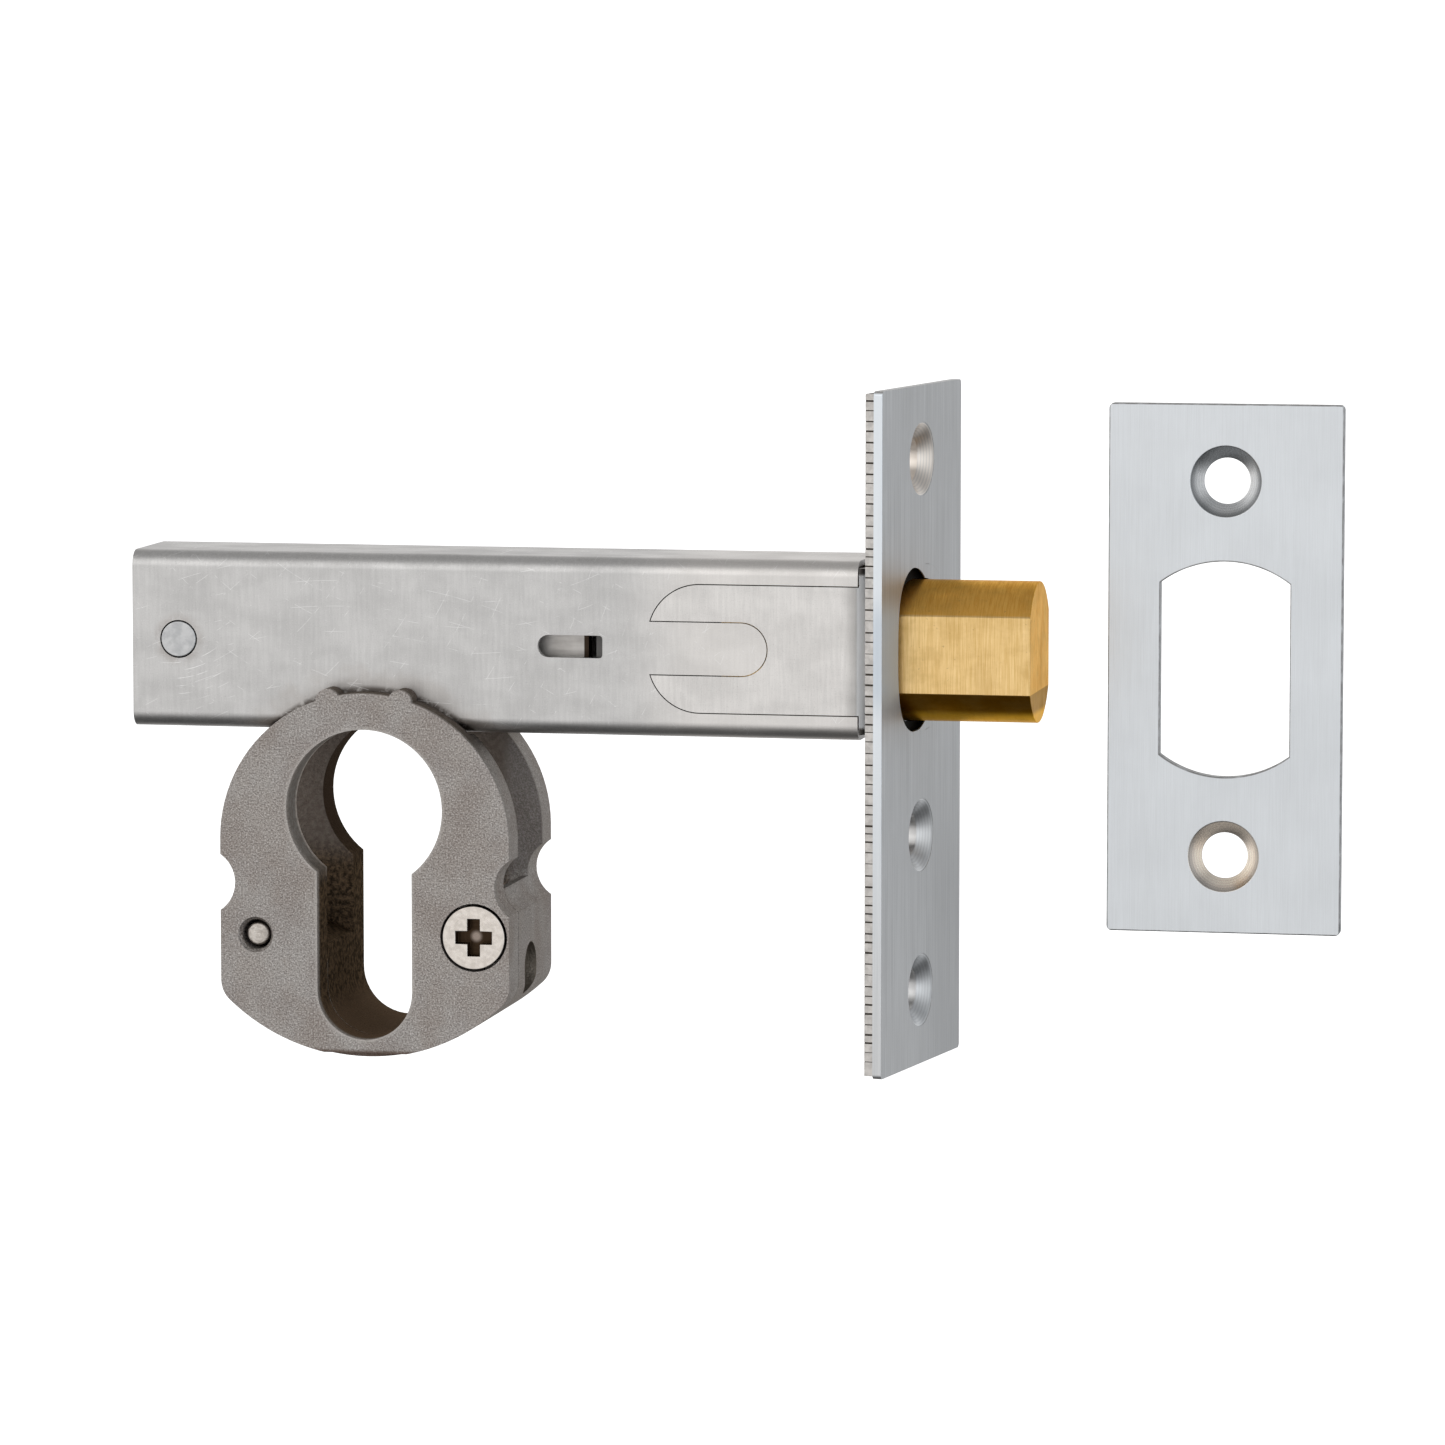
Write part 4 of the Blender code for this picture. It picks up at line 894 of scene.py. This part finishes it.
def lip_outline(centre, side):
    """A lip's outline: down to the bolt, along it, and back round the hole's edge, overlapping it.

    Heights are from the hole's middle and positive for both lips. make_hole_lips turns the lower
    one over.
    """
    steps = 16
    base = over_bolt(LIP_BOLT[0], side)
    inner = []
    for step in range(steps + 1):
        level = LIP_TOP - (LIP_TOP - base) * (step / steps) ** 2
        inner.append((centre + LIP_HALF * math.sqrt(1 - (level / LIP_TOP) ** 2), level))
    start = inner[-1][0]
    along = [start + (LIP_END - start) * step / steps for step in range(1, steps + 1)]
    follow = [(across, over_bolt(across, side)) for across in along]
    low = follow[-1][1]
    levels = [low + (LIP_TOP - low) * step / steps for step in range(steps + 1)]
    outer = [(hole_half_width(level) + 0.05, level) for level in levels]
    crown = OUTER_HOLE[1] + 0.06
    left = hole_half_width(LIP_TOP)
    closing = [(0.0, crown), (-left / 2, crown - 0.04), (-left - 0.1, LIP_TOP)]
    return inner + follow + outer + closing


def make_hole_lips():
    """The drawn-in edges of the bolt's hole, above and below the bolt."""
    for name, side in (("upper_hole_lip", 1), ("lower_hole_lip", -1)):
        outline = lip_outline(LIP_CENTRES[name], side)
        mesh = extruded(name, [[(y, OUTER_HOLE_Z + side * z) for y, z in outline]], *LIP_DEPTHS)
        mesh.shade_flat()
        hang(mesh, "outer_forend_satin")


# ---------------------------------------------------------------- camera, stage and light

def make_camera():
    """The camera, at the angle from which the object was seen."""
    data = bpy.data.cameras.new("camera")
    data.lens = CAMERA_LENS
    data.sensor_width = 36.0
    data.clip_start = 0.01
    data.clip_end = 100.0
    camera = bpy.data.objects.new("camera", data)
    camera.location = [value * MM for value in CAMERA_PLACE]
    camera.rotation_euler = (math.radians(90.0 - CAMERA_PITCH), 0.0, math.radians(CAMERA_YAW))
    bpy.context.scene.collection.objects.link(camera)
    bpy.context.scene.camera = camera


def make_world():
    """A studio: bright all round, dimmer above and to the right, dark below, less so at the back."""
    world = bpy.data.worlds.new("studio")
    bpy.context.scene.world = world
    world.use_nodes = True
    g = Graph(world.node_tree)
    source = g.add("ShaderNodeTexCoord")
    side, ahead, height = g.split(source.outputs["Generated"])
    upper = g.ramp(height, 0.2, 0.9, 1.0, 0.42)
    ground = g.ramp(ahead, 0.2, 0.8, 0.09, 0.5)
    lower = g.ramp(height, -0.8, -0.2, ground, 1.0)
    right = g.ramp(side, 0.25, 0.7, 1.0, 0.62)
    level = g.all_of(upper, lower, right)
    tint = g.mix(g.ramp(side, -0.2, 0.5), (1.0, 0.985, 0.97, 1.0), (0.94, 0.97, 1.0, 1.0))
    sky = g.add("ShaderNodeBackground")
    g.put(sky.inputs["Color"], tint)
    g.put(sky.inputs["Strength"], g.math("MULTIPLY", level, 0.94))
    paper = g.add("ShaderNodeBackground")
    paper.inputs["Color"].default_value = (1.0, 1.0, 1.0, 1.0)
    paper.inputs["Strength"].default_value = 1.05
    path = g.add("ShaderNodeLightPath")
    blend = g.add("ShaderNodeMixShader")
    g.put(blend.inputs[0], path.outputs["Is Camera Ray"])
    g.put(blend.inputs[1], sky.outputs[0])
    g.put(blend.inputs[2], paper.outputs[0])
    out = g.add("ShaderNodeOutputWorld")
    g.put(out.inputs["Surface"], blend.outputs[0])


def make_floor():
    """A plain white floor well below the object, so that its shadows fall out of view."""
    level = cad_bounds[0][2] - FLOOR_DROP * MM
    bpy.ops.mesh.primitive_plane_add(size=40.0, location=(0.0, 10.0, level))
    floor = bpy.context.object
    floor.name = "floor"
    floor.visible_glossy = False
    paint = bpy.data.materials.new("floor_paint")
    paint.use_nodes = True
    shader = paint.node_tree.nodes["Principled BSDF"]
    shader.inputs["Base Color"].default_value = (0.9, 0.9, 0.9, 1.0)
    shader.inputs["Roughness"].default_value = 0.9
    shader.inputs["Emission Color"].default_value = (1.0, 1.0, 1.0, 1.0)
    shader.inputs["Emission Strength"].default_value = 0.8
    floor.data.materials.append(paint)


def make_softbox(name, place, size, power, colour):
    """A rectangular light at a place in metres, aimed at the object."""
    data = bpy.data.lights.new(name, "AREA")
    data.shape = "RECTANGLE"
    data.size, data.size_y = size
    data.energy = power
    data.color = colour
    light = bpy.data.objects.new(name, data)
    light.location = place
    aim = Vector((-0.02, 0.0, -0.01)) - Vector(place)
    light.rotation_euler = aim.to_track_quat("-Z", "Y").to_euler()
    bpy.context.scene.collection.objects.link(light)


def make_lights():
    make_softbox("key", (-0.5, -0.8, 0.5), (1.4, 0.8), 1.6, (1.0, 0.99, 0.97))
    make_softbox("fill", (0.6, -0.6, 0.1), (0.6, 0.8), 1.2, (0.95, 0.98, 1.0))


# ---------------------------------------------------------------- scene

tint_edges()
for node, (finish, rounding) in LOOKS.items():
    dress(node, finish, rounding)
make_outer_plate()
make_inner_plate()
make_screw_cups()
make_hole_lips()
make_camera()
make_world()
make_floor()
make_lights()
bpy.context.scene.view_settings.view_transform = "Standard"
